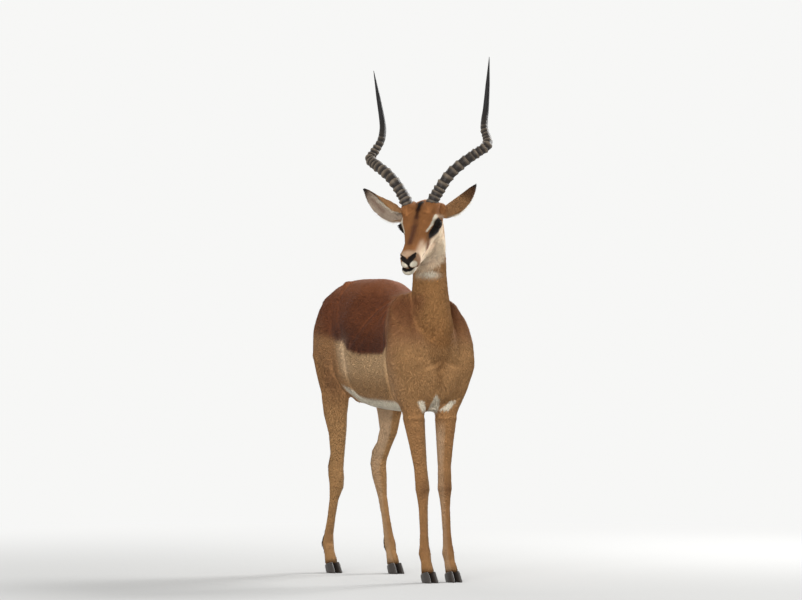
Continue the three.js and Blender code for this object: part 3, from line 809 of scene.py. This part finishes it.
# ---- the coat ----------------------------------------------------------------------------------
# Short sleek hair, lying back from the nose over the head, down the neck, and back and down over
# the body and the legs. It is laid in fine pointed tufts, each rooted in the skin and dyed there.
ROOT_DEPTH = 0.0004
BARE_RIM = 0.0016  # how near to the eyeball no hair grows
COAT_SEED = 11
# Length and width in millimetres, degrees of rise, and how many times the tufts cover the skin
HAIR = for_flesh(
    head=(6.0, 1.25, 8, 1.9), neck=(15, 2.3, 8, 2.6), trunk=(13.5, 2.2, 6, 2.6),
    tail=(24, 2.4, 9, 3.4), foreleg=(8.5, 1.6, 7, 2.3), hindleg=(9, 1.7, 7, 2.3),
    ear=(6, 1.2, 9, 2.2),
)


def toward(ahead, left, up):
    return np.array([left, -ahead, up], float)


def lay_of_coat(points, normals, shares):
    """Which way the hair lies at points of the skin, along the skin."""
    body = mirrored(stations(points))
    face = mirrored(head_stations(points))
    lay = np.zeros((len(points), 3))
    trunk = np.tile(toward(-1, 0, -0.35), (len(points), 1))
    breast = step(body[:, 0], 185, 235)[:, None]
    trunk += breast * (toward(-0.15, 0, -1) - trunk)
    rump = step(-body[:, 0], 330, 430)[:, None]
    trunk += rump * (toward(-0.5, 0, -1) - trunk)
    for number, node in enumerate(FLESH):
        share = shares[:, number, None]
        if node == "trunk":
            lay += share * trunk
        elif node == "neck":
            lay += share * toward(-0.25, 0, -1)
        elif node == "head":
            cheek = (step(face[:, 1], 15, 40) * drop(face[:, 0], 120, 180))[:, None]
            lay += share * (np.array(behind) - cheek * 0.55 * np.array(above))
        elif node in dict(EARS):
            way = ear_way(dict(EARS)[node])
            lay += share * way / np.linalg.norm(way)
        else:
            lay += share * toward(-0.1, 0, -1)
    lay = spread(lay, edges, degree, 30)
    lay -= (lay * normals).sum(1)[:, None] * normals
    return lay / np.maximum(np.linalg.norm(lay, axis=1), 1e-9)[:, None]


hair_finish, *_ = coat_finish("hair", 0.6)
BAKE_SPOT = 0.0015  # half the size of a hair's patch on the bake map


def joined_hairs(name, hairs, corners_of_faces, colours, shades, places, spot):
    """One mesh of many like hairs, each closed, with their dye and their bake map."""
    faces = corners_of_faces[None] + hairs.shape[1] * np.arange(len(hairs))[:, None, None]
    dyes = (colours[:, None] * np.array(shades)[None, :, None]).reshape(-1, 3)
    patches = (places[:, None] + np.array(spot)[None] * BAKE_SPOT).reshape(-1, 2)
    mesh = bpy.data.meshes.new(name)
    mesh.vertices.add(len(dyes))
    mesh.vertices.foreach_set("co", hairs.astype(np.float32).ravel())
    mesh.loops.add(faces.size)
    mesh.loops.foreach_set("vertex_index", faces.astype(np.int32).ravel())
    mesh.polygons.add(faces.size // 3)
    mesh.polygons.foreach_set("loop_start", np.arange(0, faces.size, 3, dtype=np.int32))
    mesh.update(calc_edges=True)
    dye(mesh, dyes)
    layer = mesh.uv_layers.new(name="OFBake")
    layer.data.foreach_set("uv", patches[faces.ravel()].astype(np.float32).ravel())
    mesh.materials.append(hair_finish)
    made = bpy.data.objects.new(name, mesh)
    bpy.context.scene.collection.objects.link(made)
    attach(made, "root")


lay = lay_of_coat(points, normals, shares)
skin_body, skin_face = mirrored(stations(points)), mirrored(head_stations(points))
triangles = np.array([tuple(face.vertices) for face in skin.data.polygons])
corners = points[triangles]
across, along = corners[:, 1] - corners[:, 0], corners[:, 2] - corners[:, 0]
areas = np.linalg.norm(np.cross(across, along), axis=1)
areas *= 0.5e6  # square millimetres
lengths, widths, rises, covers = (shares @ HAIR).T
muzzle = step(skin_face[:, 0], 130, 235) * shares[:, FLESH.index("head")]
lengths = lengths * (1 - 0.5 * muzzle)
widths = widths * (1 - 0.35 * muzzle)
thigh = shares[:, FLESH.index("hindleg_left")] + shares[:, FLESH.index("hindleg_right")]
thigh *= step(points[:, 2], 0.32, 0.52)
lengths = lengths * (1 + 0.4 * thigh)
widths = widths * (1 + 0.28 * thigh)
# Shorter over the points of the hips and the withers, where the skin is tight
knobs = rise(skin_body, (-284, 50, 902), (34, 30, 26))
knobs += rise(skin_body, (118, 0, 886), (70, 34, 26))
lengths = lengths * (1 - 0.5 * np.minimum(knobs, 1))
by_eye = drop(to_eye(points), 0.018, 0.03)
lengths = lengths * (1 - 0.6 * by_eye)
widths = widths * (1 - 0.4 * by_eye)
per_area = covers / (0.5 * lengths * widths)

chance = np.random.default_rng(COAT_SEED)
wanted = areas * per_area[triangles].mean(1)
counts = np.floor(wanted + chance.random(len(wanted))).astype(int)
home = np.repeat(np.arange(len(triangles)), counts)
fold = chance.random((len(home), 2))
over = fold.sum(1) > 1
fold[over] = 1 - fold[over]
weights = np.column_stack([1 - fold.sum(1), fold])


def at_roots(values):
    """Values of the skin's corners, carried to the roots of the tufts."""
    picked = values[triangles[home]]
    return np.einsum("tc,tc...->t...", weights, picked)


def unit(vectors):
    return vectors / np.maximum(np.linalg.norm(vectors, axis=1), 1e-9)[:, None]


root = at_roots(points)
root_normal = unit(at_roots(normals))
root_shares = at_roots(shares)
root_lay = unit(at_roots(lay))
length = at_roots(lengths) * chance.uniform(0.72, 1.22, len(root)) / 1000
width = at_roots(widths) * chance.uniform(0.8, 1.15, len(root)) / 1000
lift_angle = np.radians(at_roots(rises) * chance.uniform(0.5, 1.4, len(root)))
sideways = np.cross(root_lay, root_normal)
sway = np.radians(chance.normal(0, 7, len(root)))[:, None]
root_lay = root_lay * np.cos(sway) + sideways * np.sin(sway)
sideways = np.cross(root_lay, root_normal)
way = root_lay * np.cos(lift_angle)[:, None] + root_normal * np.sin(lift_angle)[:, None]

# None grow on the eyes or on the leather of the nose.
root_face = mirrored(head_stations(root))
bare = (to_eye(root) < EYE_RADIUS + BARE_RIM) | (nose_leather(root_face) > 0.55)
zone = root_shares.argmax(1)
root_colour = markings_and_painted_light(root, root_normal, root_shares)
root_colour *= chance.uniform(0.9, 1.1, len(root))[:, None]

# A tuft is a flat three-sided spike: two corners and a crest at the root, and its tip.
SPIKE = np.array([[0, 3, 2], [2, 3, 1], [1, 3, 0], [0, 2, 1]])
SPIKE_SPOT = [[-1, -1], [1, -1], [0, -0.4], [0, 1]]
# Painted shade darkens each tuft towards its root
SPIKE_SHADES = (0.82, 0.82, 0.95, 1.06)  # darker at the root, lighter at the tip


def unwrapped(points, axis):
    """Each point's place on a cylinder unrolled round an axis, filling a square."""
    middle_line = points.mean(0)
    other = [n for n in range(3) if n != axis]
    turn = np.arctan2(*(points - middle_line)[:, other].T) / (2 * math.pi) + 0.5
    low, high = points[:, axis].min(), points[:, axis].max()
    return np.column_stack([turn, (points[:, axis] - low) / (high - low)]) * 0.98 + 0.01


def grow(name, mine, axis):
    """The tufts of one stretch of the coat, as one mesh."""
    mine = np.nonzero(mine & ~bare)[0]
    r, n, s = root[mine], root_normal[mine], sideways[mine]
    wide, long = width[mine][:, None], length[mine][:, None]
    base = r - n * ROOT_DEPTH
    spikes = np.stack(
        [base - s * wide / 2, base + s * wide / 2, r + n * wide * 0.2, r + way[mine] * long], 1
    )
    joined_hairs(
        name, spikes, SPIKE, root_colour[mine], SPIKE_SHADES, unwrapped(r, axis), SPIKE_SPOT
    )


def in_zone(*nodes):
    """Which roots stand on these pieces of flesh."""
    return np.isin(zone, [FLESH.index(node) for node in nodes])


left_side = root[:, 0] > MIDLINE
fore_part = MID_TRUNK - root[:, 1] > 0.02
for hand, mine in (("left", left_side), ("right", ~left_side)):
    grow(f"coat_shoulder_{hand}", in_zone("trunk") & mine & fore_part, 1)
    grow(f"coat_rump_{hand}", in_zone("trunk") & mine & ~fore_part, 1)
left_of_face = head_stations(root)[:, 1] > 0
for hand, mine in (("left", left_of_face), ("right", ~left_of_face)):
    grow(f"coat_face_{hand}", in_zone("head") & mine, 2)
LEGS = ("foreleg_left", "foreleg_right", "hindleg_left", "hindleg_right")
for node in ("neck", "tail", "ear_left", "ear_right", *LEGS):
    grow(f"coat_{node}", in_zone(node), 2)

# ---- the longer hair ---------------------------------------------------------------------------
# Locks that stand out of the short coat: a pale ruff under the cheeks and the throat, white fringes
# under the ears, tufts round the horns, the coronets, a brush on the tail, and the black tufts over
# the hind feet. Each is rooted in the skin and curves over to its tip.
HORN_SEAT = (42, 40, 58)  # forward, out and up of the head's stations
# A lock's corners: three at its root, three at its bend, and its tip
LOCK = np.array([
    [0, 2, 1], [0, 1, 4], [0, 4, 3], [1, 2, 5], [1, 5, 4], [2, 0, 3], [2, 3, 5],
    [3, 4, 6], [4, 5, 6], [5, 3, 6],
])
THIRDS = (0, 2.094, 4.189)  # of a turn
LOCK_SPOT = [[-1, -1], [1, -1], [0, -0.6], [-0.6, 0], [0.6, 0], [0, 0.3], [0, 1]]
# Painted shade darkens each lock towards its root; the tip is lighter
LOCK_SHADES = (0.8, 0.8, 0.8, 0.95, 0.95, 0.95, 1.08)


def curved(name, roots, ways, across, long, wide, fall, colours, places):
    """Three-sided hairs with a bend half way, as wide as given, that fall towards their tips."""
    away = np.cross(across, ways)
    down = np.array([0, 0, -1.0])
    rings = []
    for share, thick in ((0, 1), (0.5, 0.75)):
        bend = roots + ways * (long * share)[:, None] + down * (long * fall * share**2)[:, None]
        for turn in THIRDS:
            arm = across * math.cos(turn) + away * math.sin(turn)
            rings.append(bend + arm * (wide * thick / 2))
    tip = roots + ways * long[:, None] + down * (long * fall)[:, None]
    locks = np.stack(rings + [tip], 1)
    joined_hairs(name, locks, LOCK, colours, LOCK_SHADES, places, LOCK_SPOT)


whole_face = head_stations(root)
root_body = stations(root)
ruff = step(-whole_face[:, 2], 42, 58) * step(whole_face[:, 0], 60, 90) * in_zone("head")
ruff *= drop(whole_face[:, 0], 140, 175)
throat = in_zone("neck") * step(whole_face[:, 2], -107, -99) * step(whole_face[:, 0], 70, 100)
by_horn = np.linalg.norm((root_face - np.array(HORN_SEAT)) / np.array([1, 1, 1.5]), axis=1)
horn_seat = in_zone("head") * drop(by_horn, 24, 29) * step(by_horn, 15, 18)
above_foot = rise(root_body[:, 2:], (98,), (20,))
fetlock = in_zone(*LEGS[2:]) * step(root_normal[:, 1], 0.2, 0.6) * above_foot
coronet = in_zone(*LEGS) * drop(root_body[:, 2], 38, 50)
brush = in_zone("tail") * step(-root_body[:, 2], -830, -640)
fringes = np.zeros(len(root))
for (node, hand), thick in zip(EARS, (1.0, 0.2)):
    along = ear_station(root, hand)[0]
    held = in_zone(node) * step(root_normal @ np.array(-crown), 0.45, 0.75) * thick
    fringes += held * step(along, 0.05, 0.2) * drop(along, 0.62, 0.8)
# Where, length and width in millimetres, rise in degrees, share of the roots, and fall
LONG_HAIR = {
    "ruff": (ruff + throat, 15, 1.5, 20, 0.34, 0.3),
    "horn_seats": (horn_seat, 5.5, 1.0, 20, 0.6, 0.0),
    "ear_fringes": (fringes, 12.5, 0.8, 30, 0.9, 0.12),
    "coronets": (coronet, 10, 1.3, 9, 0.5, 0.0),
    "tail": (brush, 42, 2.0, 14, 0.35, 0.12),
    "fetlocks": (fetlock, 13, 1.5, 15, 0.9, 0.1),
}
for name, (mask, long, wide, stand, kept, fall) in LONG_HAIR.items():
    mine = np.nonzero(chance.random(len(root)) < mask * kept)[0]
    mine = mine[~bare[mine]]
    lifted = np.radians(stand * chance.uniform(0.5, 1.3, len(mine)))[:, None]
    ways = root_lay[mine] * np.cos(lifted) + root_normal[mine] * np.sin(lifted)
    span = long * chance.uniform(0.6, 1.25, len(mine)) / 1000
    colours = root_colour[mine]
    if name == "ear_fringes":
        colours = colours + 0.9 * (WHITE * 1.1 - colours)
    if name == "ruff":
        colours = colours + 0.7 * (CREAM * 1.04 - colours)
    if name == "fetlocks":
        colours = np.tile(BLACK, (len(mine), 1))
    curved(
        "coat_" + name, root[mine] - root_normal[mine] * ROOT_DEPTH, ways, sideways[mine], span,
        wide / 1000, fall, colours, unwrapped(root[mine], 2),
    )

# ---- the lashes --------------------------------------------------------------------------------
# A row of stiff black hairs along the edge of each upper lid, longest at its middle. They stand out
# and up from the lid and bend over a little.
LASHES = 38
LASH_WIDTH = 0.0011
LASH_FALL = 0.35
for eye, hand in zip(EYES, (1, -1)):
    out, forward, upright = almond_frame(hand)
    along = np.linspace(-0.92, 0.96, LASHES) + chance.uniform(-0.02, 0.02, LASHES)
    high = np.sqrt(np.clip((1 - along**2) / (1 + 0.9 * along**2), 0, 1)) * 1.1
    seat = forward * (along * ALMOND[0])[:, None] + upright * (high * ALMOND[1] - LID_DROP)[:, None]
    proud = np.sqrt(np.maximum((EYE_RADIUS + LID * 0.7) ** 2 - (seat**2).sum(1), 1e-6))
    seat = np.array(middle(eye)) + seat + out * proud[:, None]
    ways = unit(out * 0.8 + upright * chance.uniform(0.2, 0.55, LASHES)[:, None]
                + forward * (along * 0.5)[:, None])
    span = (0.004 + 0.0032 * (1 - along**2)) * chance.uniform(0.85, 1.1, LASHES)
    curved(
        "lashes_" + eye[4:], seat, ways, unit(np.cross(ways, upright)), span, LASH_WIDTH, LASH_FALL,
        np.tile(BLACK * 0.8, (LASHES, 1)), unwrapped(seat, 1),
    )

# ---- the horns ---------------------------------------------------------------------------------
# A pair of hollow sheaths of dark horn over bony cores, swept back and out and then up in a lyre.
# Rings stand round them for two thirds of their length, sharpest at the front; the tips are smooth.
HORN_SIDES = 30
HORN_LEVELS = 260
HORN_GROOVE = tone(34, 28, 24)
HORN_CREST = tone(106, 94, 80)
HORN_TIP = tone(18, 16, 16)
# The way of a horn's middle line: back, out and up of its seat, on a level head
HORN_PATH = [
    (-6, -4, -16), (-2, 1, 10), (17, 23, 48), (33, 49, 84), (58, 82, 115), (87, 120, 142),
    (118, 150, 164), (146, 144, 188), (170, 130, 218), (190, 127, 250), (203, 130, 282),
    (213, 138, 344), (221, 146, 407), (225, 150, 440),
]
HORN_RADII = (19.5, 18.5, 17.5, 16.2, 13, 10, 6.8, 0.9)  # evenly spaced, base to tip
HORN_RINGS = 21
# Rings stand close at the base, wide apart along the sweep, and close again past the bend.
RING_STOPS = [(0, 0), (0.13, 5), (0.36, 10.4), (0.44, 13.4), (0.66, 21), (1, 21)]  # share, rings
RINGED_SHARE = 0.66
RING_HEIGHT = 0.2  # of the radius
RING_PEAK = 0.74  # how far up each ring its crest stands


def rounded_path(stops, per_span=24):
    """A smooth line through the stops, as points, with each point's share of its length."""
    stops = np.vstack([2 * stops[0] - stops[1], stops, 2 * stops[-1] - stops[-2]])
    line = []
    for a, b, c, d in zip(stops, stops[1:], stops[2:], stops[3:]):
        t = np.linspace(0, 1, per_span, endpoint=False)[:, None]
        bend = 2 * a - 5 * b + 4 * c - d + t * (3 * (b - c) + d - a)
        line.append(b + 0.5 * t * (c - a + t * bend))
    line = np.vstack(line + [stops[-2][None]])
    run = np.concatenate([[0], np.cumsum(np.linalg.norm(np.diff(line, axis=0), axis=1))])
    return line, run / run[-1]


def face_outwards(mesh):
    """Turns a closed mesh's faces outwards, whatever its points were moved through."""
    shape = bmesh.new()
    shape.from_mesh(mesh)
    bmesh.ops.recalc_face_normals(shape, faces=shape.faces)
    shape.to_mesh(mesh)
    shape.free()


def on_path(line, run, shares):
    return np.column_stack([np.interp(shares, run, line[:, n]) for n in range(3)])


def horn(name, hand):
    seat = skull_joint + (
        side * HORN_SEAT[1] * hand - behind * HORN_SEAT[0] + above * HORN_SEAT[2]
    ) / 1000
    stops = [seat + (level * b + side * o * hand + crown * u) / 1000 for b, o, u in HORN_PATH]
    line, run = rounded_path(np.array(stops))
    shape = bmesh.new()
    bmesh.ops.create_cone(
        shape, cap_ends=True, segments=HORN_SIDES, radius1=1, radius2=1, depth=1,
        calc_uvs=False,
    )
    lengthwise = [
        edge for edge in shape.edges if abs(edge.verts[0].co.z - edge.verts[1].co.z) > 0.5
    ]
    bmesh.ops.subdivide_edges(shape, edges=lengthwise, cuts=HORN_LEVELS)
    made = piece(name, shape)
    rough = points_of(made.data)
    share = rough[:, 2] + 0.5
    middle_line = on_path(line, run, share)
    next_line = on_path(line, run, np.minimum(share + 0.004, 1))
    along = unit(next_line - on_path(line, run, share - 0.004))
    front = unit(np.array(-level) - along * (along @ np.array(-level))[:, None])
    across = np.cross(front, along)
    radius = np.interp(share, np.linspace(0, 1, len(HORN_RADII)), HORN_RADII) / 1000
    turn = level_line(share, RING_STOPS) + 0.16 * rough[:, 1]
    phase = turn % 1
    ring = np.where(
        phase < RING_PEAK, (phase / RING_PEAK) ** 1.7, drop(phase, RING_PEAK, RING_PEAK + 0.18)
    )
    bold = np.random.default_rng(5 + hand).uniform(0.7, 1.2, HORN_RINGS + 2)
    ring *= bold[np.clip(turn.astype(int), 0, HORN_RINGS)]
    around = np.arctan2(rough[:, 0], rough[:, 1])
    ring *= 1 + 0.16 * np.sin(3 * around + 2.4 * turn.astype(int))
    fade = step(RINGED_SHARE - share, 0.0, 0.1) * step(share, 0.01, 0.05)
    frontness = 0.62 + 0.38 * rough[:, 1]
    grow_out = 1 + RING_HEIGHT * (ring - 0.5) * fade * (0.35 + frontness)
    # The keel down the front and the flat of the sides
    grow_out *= 1 + 0.05 * np.cos(2 * around)
    place = middle_line + (
        across * rough[:, 0, None] + front * rough[:, 1, None]
    ) * (radius * grow_out)[:, None]
    move_points(made.data, place)
    # The crests are lighter and the grooves darker: partly dust and wear on the crests, partly
    # painted highlight on them and painted shade in the grooves
    crest = (step(ring, 0.1, 1) * fade)[:, None]
    worn_lit_and_shaded = HORN_GROOVE + crest * (HORN_CREST - HORN_GROOVE)
    smooth = step(share, RINGED_SHARE - 0.04, RINGED_SHARE + 0.1)[:, None]
    worn_lit_and_shaded = worn_lit_and_shaded + smooth * (HORN_TIP - worn_lit_and_shaded)
    dye(made.data, worn_lit_and_shaded)
    # The grain's map is the same on both sides of the keel, so it has no seam.
    layer = made.data.uv_layers.new(name="grain")
    corner = rows_of(made.data.loops, "vertex_index", 1, np.int32)[:, 0]
    grain = np.column_stack([np.abs(around / (2 * math.pi)) * 2, share])[corner]
    layer.data.foreach_set("uv", grain.astype(np.float32).ravel())
    face_outwards(made.data)
    made.data.shade_smooth()
    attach(made, "root")
    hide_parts(name)
    return made


horn_finish, tree = new_finish("ringed horn")
place = add_node(tree, "UVMap", uv_map="grain")
stretch = add_node(tree, "Mapping", {"Vector": place.outputs[0], "Scale": (60, 14, 1)})
fibres = add_node(tree, "TexNoise", {
    "Vector": stretch.outputs[0], "Scale": 1, "Detail": 6, "Roughness": 0.65,
}).outputs[0]
relief = add_node(tree, "Bump", {"Height": fibres, "Strength": 0.5, "Distance": 0.0009})
surface = add_node(tree, "BsdfPrincipled", {
    "Base Color": dye_times(tree, fibres, 0.7, 1.3), "Roughness": 0.5,
    "Specular IOR Level": 0.25, "Normal": relief.outputs[0],
})
add_node(tree, "OutputMaterial", {"Surface": surface.outputs[0]})
for name, hand in (("horn_left", 1), ("horn_right", -1)):
    horn(name, hand).data.materials.append(horn_finish)

# ---- the eyes ----------------------------------------------------------------------------------
# Large wet globes, set in the sides of the skull: a clear cornea over a dark brown iris, with the
# long level pupil of a grazing animal. They look out through the opening of the lids.
PUPIL = (0.52, 0.2)  # half its length and half its height, of the eye's radius
IRIS = 0.78  # its radius, of the eye's


def eyeball(name, hand):
    centre = np.array(middle(name))
    shape = bmesh.new()
    bmesh.ops.create_uvsphere(shape, u_segments=96, v_segments=64, radius=EYE_RADIUS)
    look = math.radians(EYE_LOOKS)
    out = side * hand * math.cos(look) - behind * math.sin(look)
    forward = (-behind - out * out.dot(-behind)).normalized()
    upright = out.cross(forward) * hand
    made = piece(name + "_globe", shape)
    ball = points_of(made.data) / EYE_RADIUS
    # The cornea stands a little proud of the globe.
    bulge = 1 + 0.05 * step(ball[:, 2], 0.55, 0.85)
    turn = np.column_stack([np.array(forward), np.array(upright), np.array(out)])
    move_points(made.data, centre + (ball * bulge[:, None] * EYE_RADIUS) @ turn.T)
    flat = ball[:, :2]
    pupil = np.hypot(flat[:, 0] / PUPIL[0], flat[:, 1] / PUPIL[1])
    ring = np.hypot(*flat.T)
    colours = np.tile(tone(34, 20, 12), (len(ball), 1))
    colours += step(ring, 0.3, IRIS)[:, None] * (tone(26, 16, 12) - colours)
    colours += step(ring, IRIS - 0.03, IRIS + 0.04)[:, None] * (tone(12, 9, 8) - colours)
    colours += drop(pupil, 0.9, 1.06)[:, None] * (tone(6, 6, 8) - colours)
    dye(made.data, colours)
    face_outwards(made.data)
    made.data.shade_smooth()
    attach(made, "root")
    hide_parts(name)
    return made


eye_finish, tree = new_finish("wet eye")
dyed = add_node(tree, "Attribute", attribute_name="coat")
surface = add_node(tree, "BsdfPrincipled", {
    "Base Color": dyed.outputs["Color"], "Roughness": 0.35, "Specular IOR Level": 0.06,
    "Coat Weight": 0.05, "Coat Roughness": 0.03,
})
add_node(tree, "OutputMaterial", {"Surface": surface.outputs[0]})
for eye, hand in zip(EYES, (1, -1)):
    eyeball(eye, hand).data.materials.append(eye_finish)

# ---- the hooves --------------------------------------------------------------------------------
# Two pointed claws of black horn on each foot, worn flat underneath, with growth lines round them
# under the coronet. They are rounded off from the solids.
HOOF_GRAIN = 0.0015
HOOF_THINNING = 0.35
SOLE = 0.0012  # below this height a claw keeps its flat
WEAR_ROUNDS = 14  # how long the edges are rounded


def hoof(name):
    made = piece(name + "_claw", merged_copy(name))
    remesh = made.modifiers.new("rounded", "REMESH")
    remesh.mode = "VOXEL"
    remesh.voxel_size = HOOF_GRAIN
    apply_modifiers(made)
    place, links = points_of(made.data), edges_of(made.data)
    count = degrees(links, place)
    sole = place[:, 2] < SOLE
    for _ in range(WEAR_ROUNDS):
        relaxed = place + 0.6 * (neighbour_mean(place, links, count) - place)
        relaxed[sole, 2] = place[sole, 2]
        place = relaxed
    place[:, 2] = np.maximum(place[:, 2], 0)
    move_points(made.data, place)
    thin = made.modifiers.new("thinned", "DECIMATE")
    thin.ratio = HOOF_THINNING
    apply_modifiers(made)
    made.data.shade_smooth()
    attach(made, "root")
    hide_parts(name)
    return made


hoof_finish, tree = new_finish("black hoof")
place = add_node(tree, "TexCoord")
lines = add_node(tree, "TexWave", {
    "Vector": place.outputs["Object"], "Scale": 110, "Distortion": 2.5, "Detail": 3,
}, bands_direction="Z").outputs["Fac"]
tint = add_node(tree, "ValToRGB", {"Fac": lines})
for stop, colour in zip(tint.color_ramp.elements, (tone(26, 22, 20), tone(58, 50, 44))):
    stop.color = (*colour, 1)
relief = add_node(tree, "Bump", {"Height": lines, "Strength": 0.25, "Distance": 0.0005})
surface = add_node(tree, "BsdfPrincipled", {
    "Base Color": tint.outputs["Color"], "Roughness": 0.42, "Normal": relief.outputs[0],
})
add_node(tree, "OutputMaterial", {"Surface": surface.outputs[0]})
for name in sorted(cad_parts):
    if name.startswith("hoof_"):
        hoof(name).data.materials.append(hoof_finish)

# ---- the floor, the light and the camera -------------------------------------------------------
# A plain pale studio: a wide matt floor that passes into a background of its own colour, a soft
# light high on the animal's left, a wide one before its right shoulder, and a faint one behind it
# that picks out the rim of the coat. The camera stands far off with a long lens.
FLOOR_RADIUS = 60
PALE = (0.565, 0.565, 0.556, 1)
BACKGROUND = (0.93, 0.93, 0.92, 1)
FADE_FROM = 0.9  # metres from the animal, where the floor starts to pass into the background
FADE_TO = 3.2
ROOM_LIGHT = 0.6
LAMPS_AIM = (0, 0, 0.85)  # the middle of the body
CAMERA_TURN = 27  # degrees to its right of straight in front
CAMERA_REACH = 18
CAMERA_HEIGHT = 1.117
CAMERA_LENS = 262.6
AIM = (-1, -2, 855)  # the station in the middle of the frame


def looked_at(tree):
    """1 for what is seen straight, in a gloss or through clear matter, 0 for light that falls."""
    seen = add_node(tree, "LightPath").outputs
    so_far = seen["Is Camera Ray"]
    for way in ("Is Glossy Ray", "Is Transmission Ray"):
        so_far = add_node(tree, "Math", {0: so_far, 1: seen[way]}, operation="MAXIMUM").outputs[0]
    return so_far


floor_shape = bmesh.new()
bmesh.ops.create_circle(floor_shape, cap_ends=True, segments=96, radius=FLOOR_RADIUS)
floor = piece("floor", floor_shape)
floor_finish, tree = new_finish("pale matt floor")
matt = add_node(tree, "BsdfDiffuse", {"Color": PALE})
haze = add_node(tree, "Emission", {"Color": BACKGROUND})
place = add_node(tree, "TexCoord")
reach = add_node(tree, "VectorMath", {0: place.outputs["Object"]}, operation="LENGTH")
fade = add_node(tree, "MapRange", {
    "Value": reach.outputs["Value"], "From Min": FADE_FROM, "From Max": FADE_TO,
}, interpolation_type="SMOOTHSTEP")
share = add_node(tree, "Math", {0: fade.outputs[0], 1: looked_at(tree)}, operation="MULTIPLY")
blend = add_node(tree, "MixShader", {0: share.outputs[0], 1: matt.outputs[0], 2: haze.outputs[0]})
add_node(tree, "OutputMaterial", {"Surface": blend.outputs[0]})
floor.data.materials.append(floor_finish)

world = bpy.data.worlds.new("studio")
world.use_nodes = True
bpy.context.scene.world = world
tree = world.node_tree
tree.nodes.clear()
room = add_node(tree, "Background", {"Color": (1, 1, 1, 1), "Strength": ROOM_LIGHT})
backdrop = add_node(tree, "Background", {"Color": BACKGROUND})
mix = add_node(tree, "MixShader", {0: looked_at(tree), 1: room.outputs[0], 2: backdrop.outputs[0]})
add_node(tree, "OutputWorld", {"Surface": mix.outputs[0]})


def soft_light(name, at, size, power):
    """A square lamp at a place in metres, facing the middle of the body."""
    lamp = bpy.data.lights.new(name, "AREA")
    lamp.size = size
    lamp.energy = power
    made = bpy.data.objects.new(name, lamp)
    made.location = at
    made.rotation_euler = (Vector(LAMPS_AIM) - Vector(at)).to_track_quat("-Z", "Y").to_euler()
    bpy.context.scene.collection.objects.link(made)
    return made


soft_light("sky light from the right", (3.7, 1.0, 3.0), 1.8, 210)
soft_light("front fill", (-3.6, -4.0, 1.8), 3.0, 215)
soft_light("back", (0.6, 4.6, 3.4), 2.4, 60)

aim = at_station(*AIM)
turn = math.radians(-CAMERA_TURN)
camera_place = at_station(0, 0, 0) + Vector((math.sin(turn), -math.cos(turn), 0)) * CAMERA_REACH
camera_place.z = CAMERA_HEIGHT
camera = bpy.data.objects.new("camera", bpy.data.cameras.new("camera"))
camera.data.lens = CAMERA_LENS
camera.data.sensor_width = 36
camera.data.clip_end = 200
camera.location = camera_place
camera.rotation_euler = (aim - camera_place).to_track_quat("-Z", "Y").to_euler()
bpy.context.scene.collection.objects.link(camera)
bpy.context.scene.camera = camera
bpy.context.scene.view_settings.view_transform = "Standard"
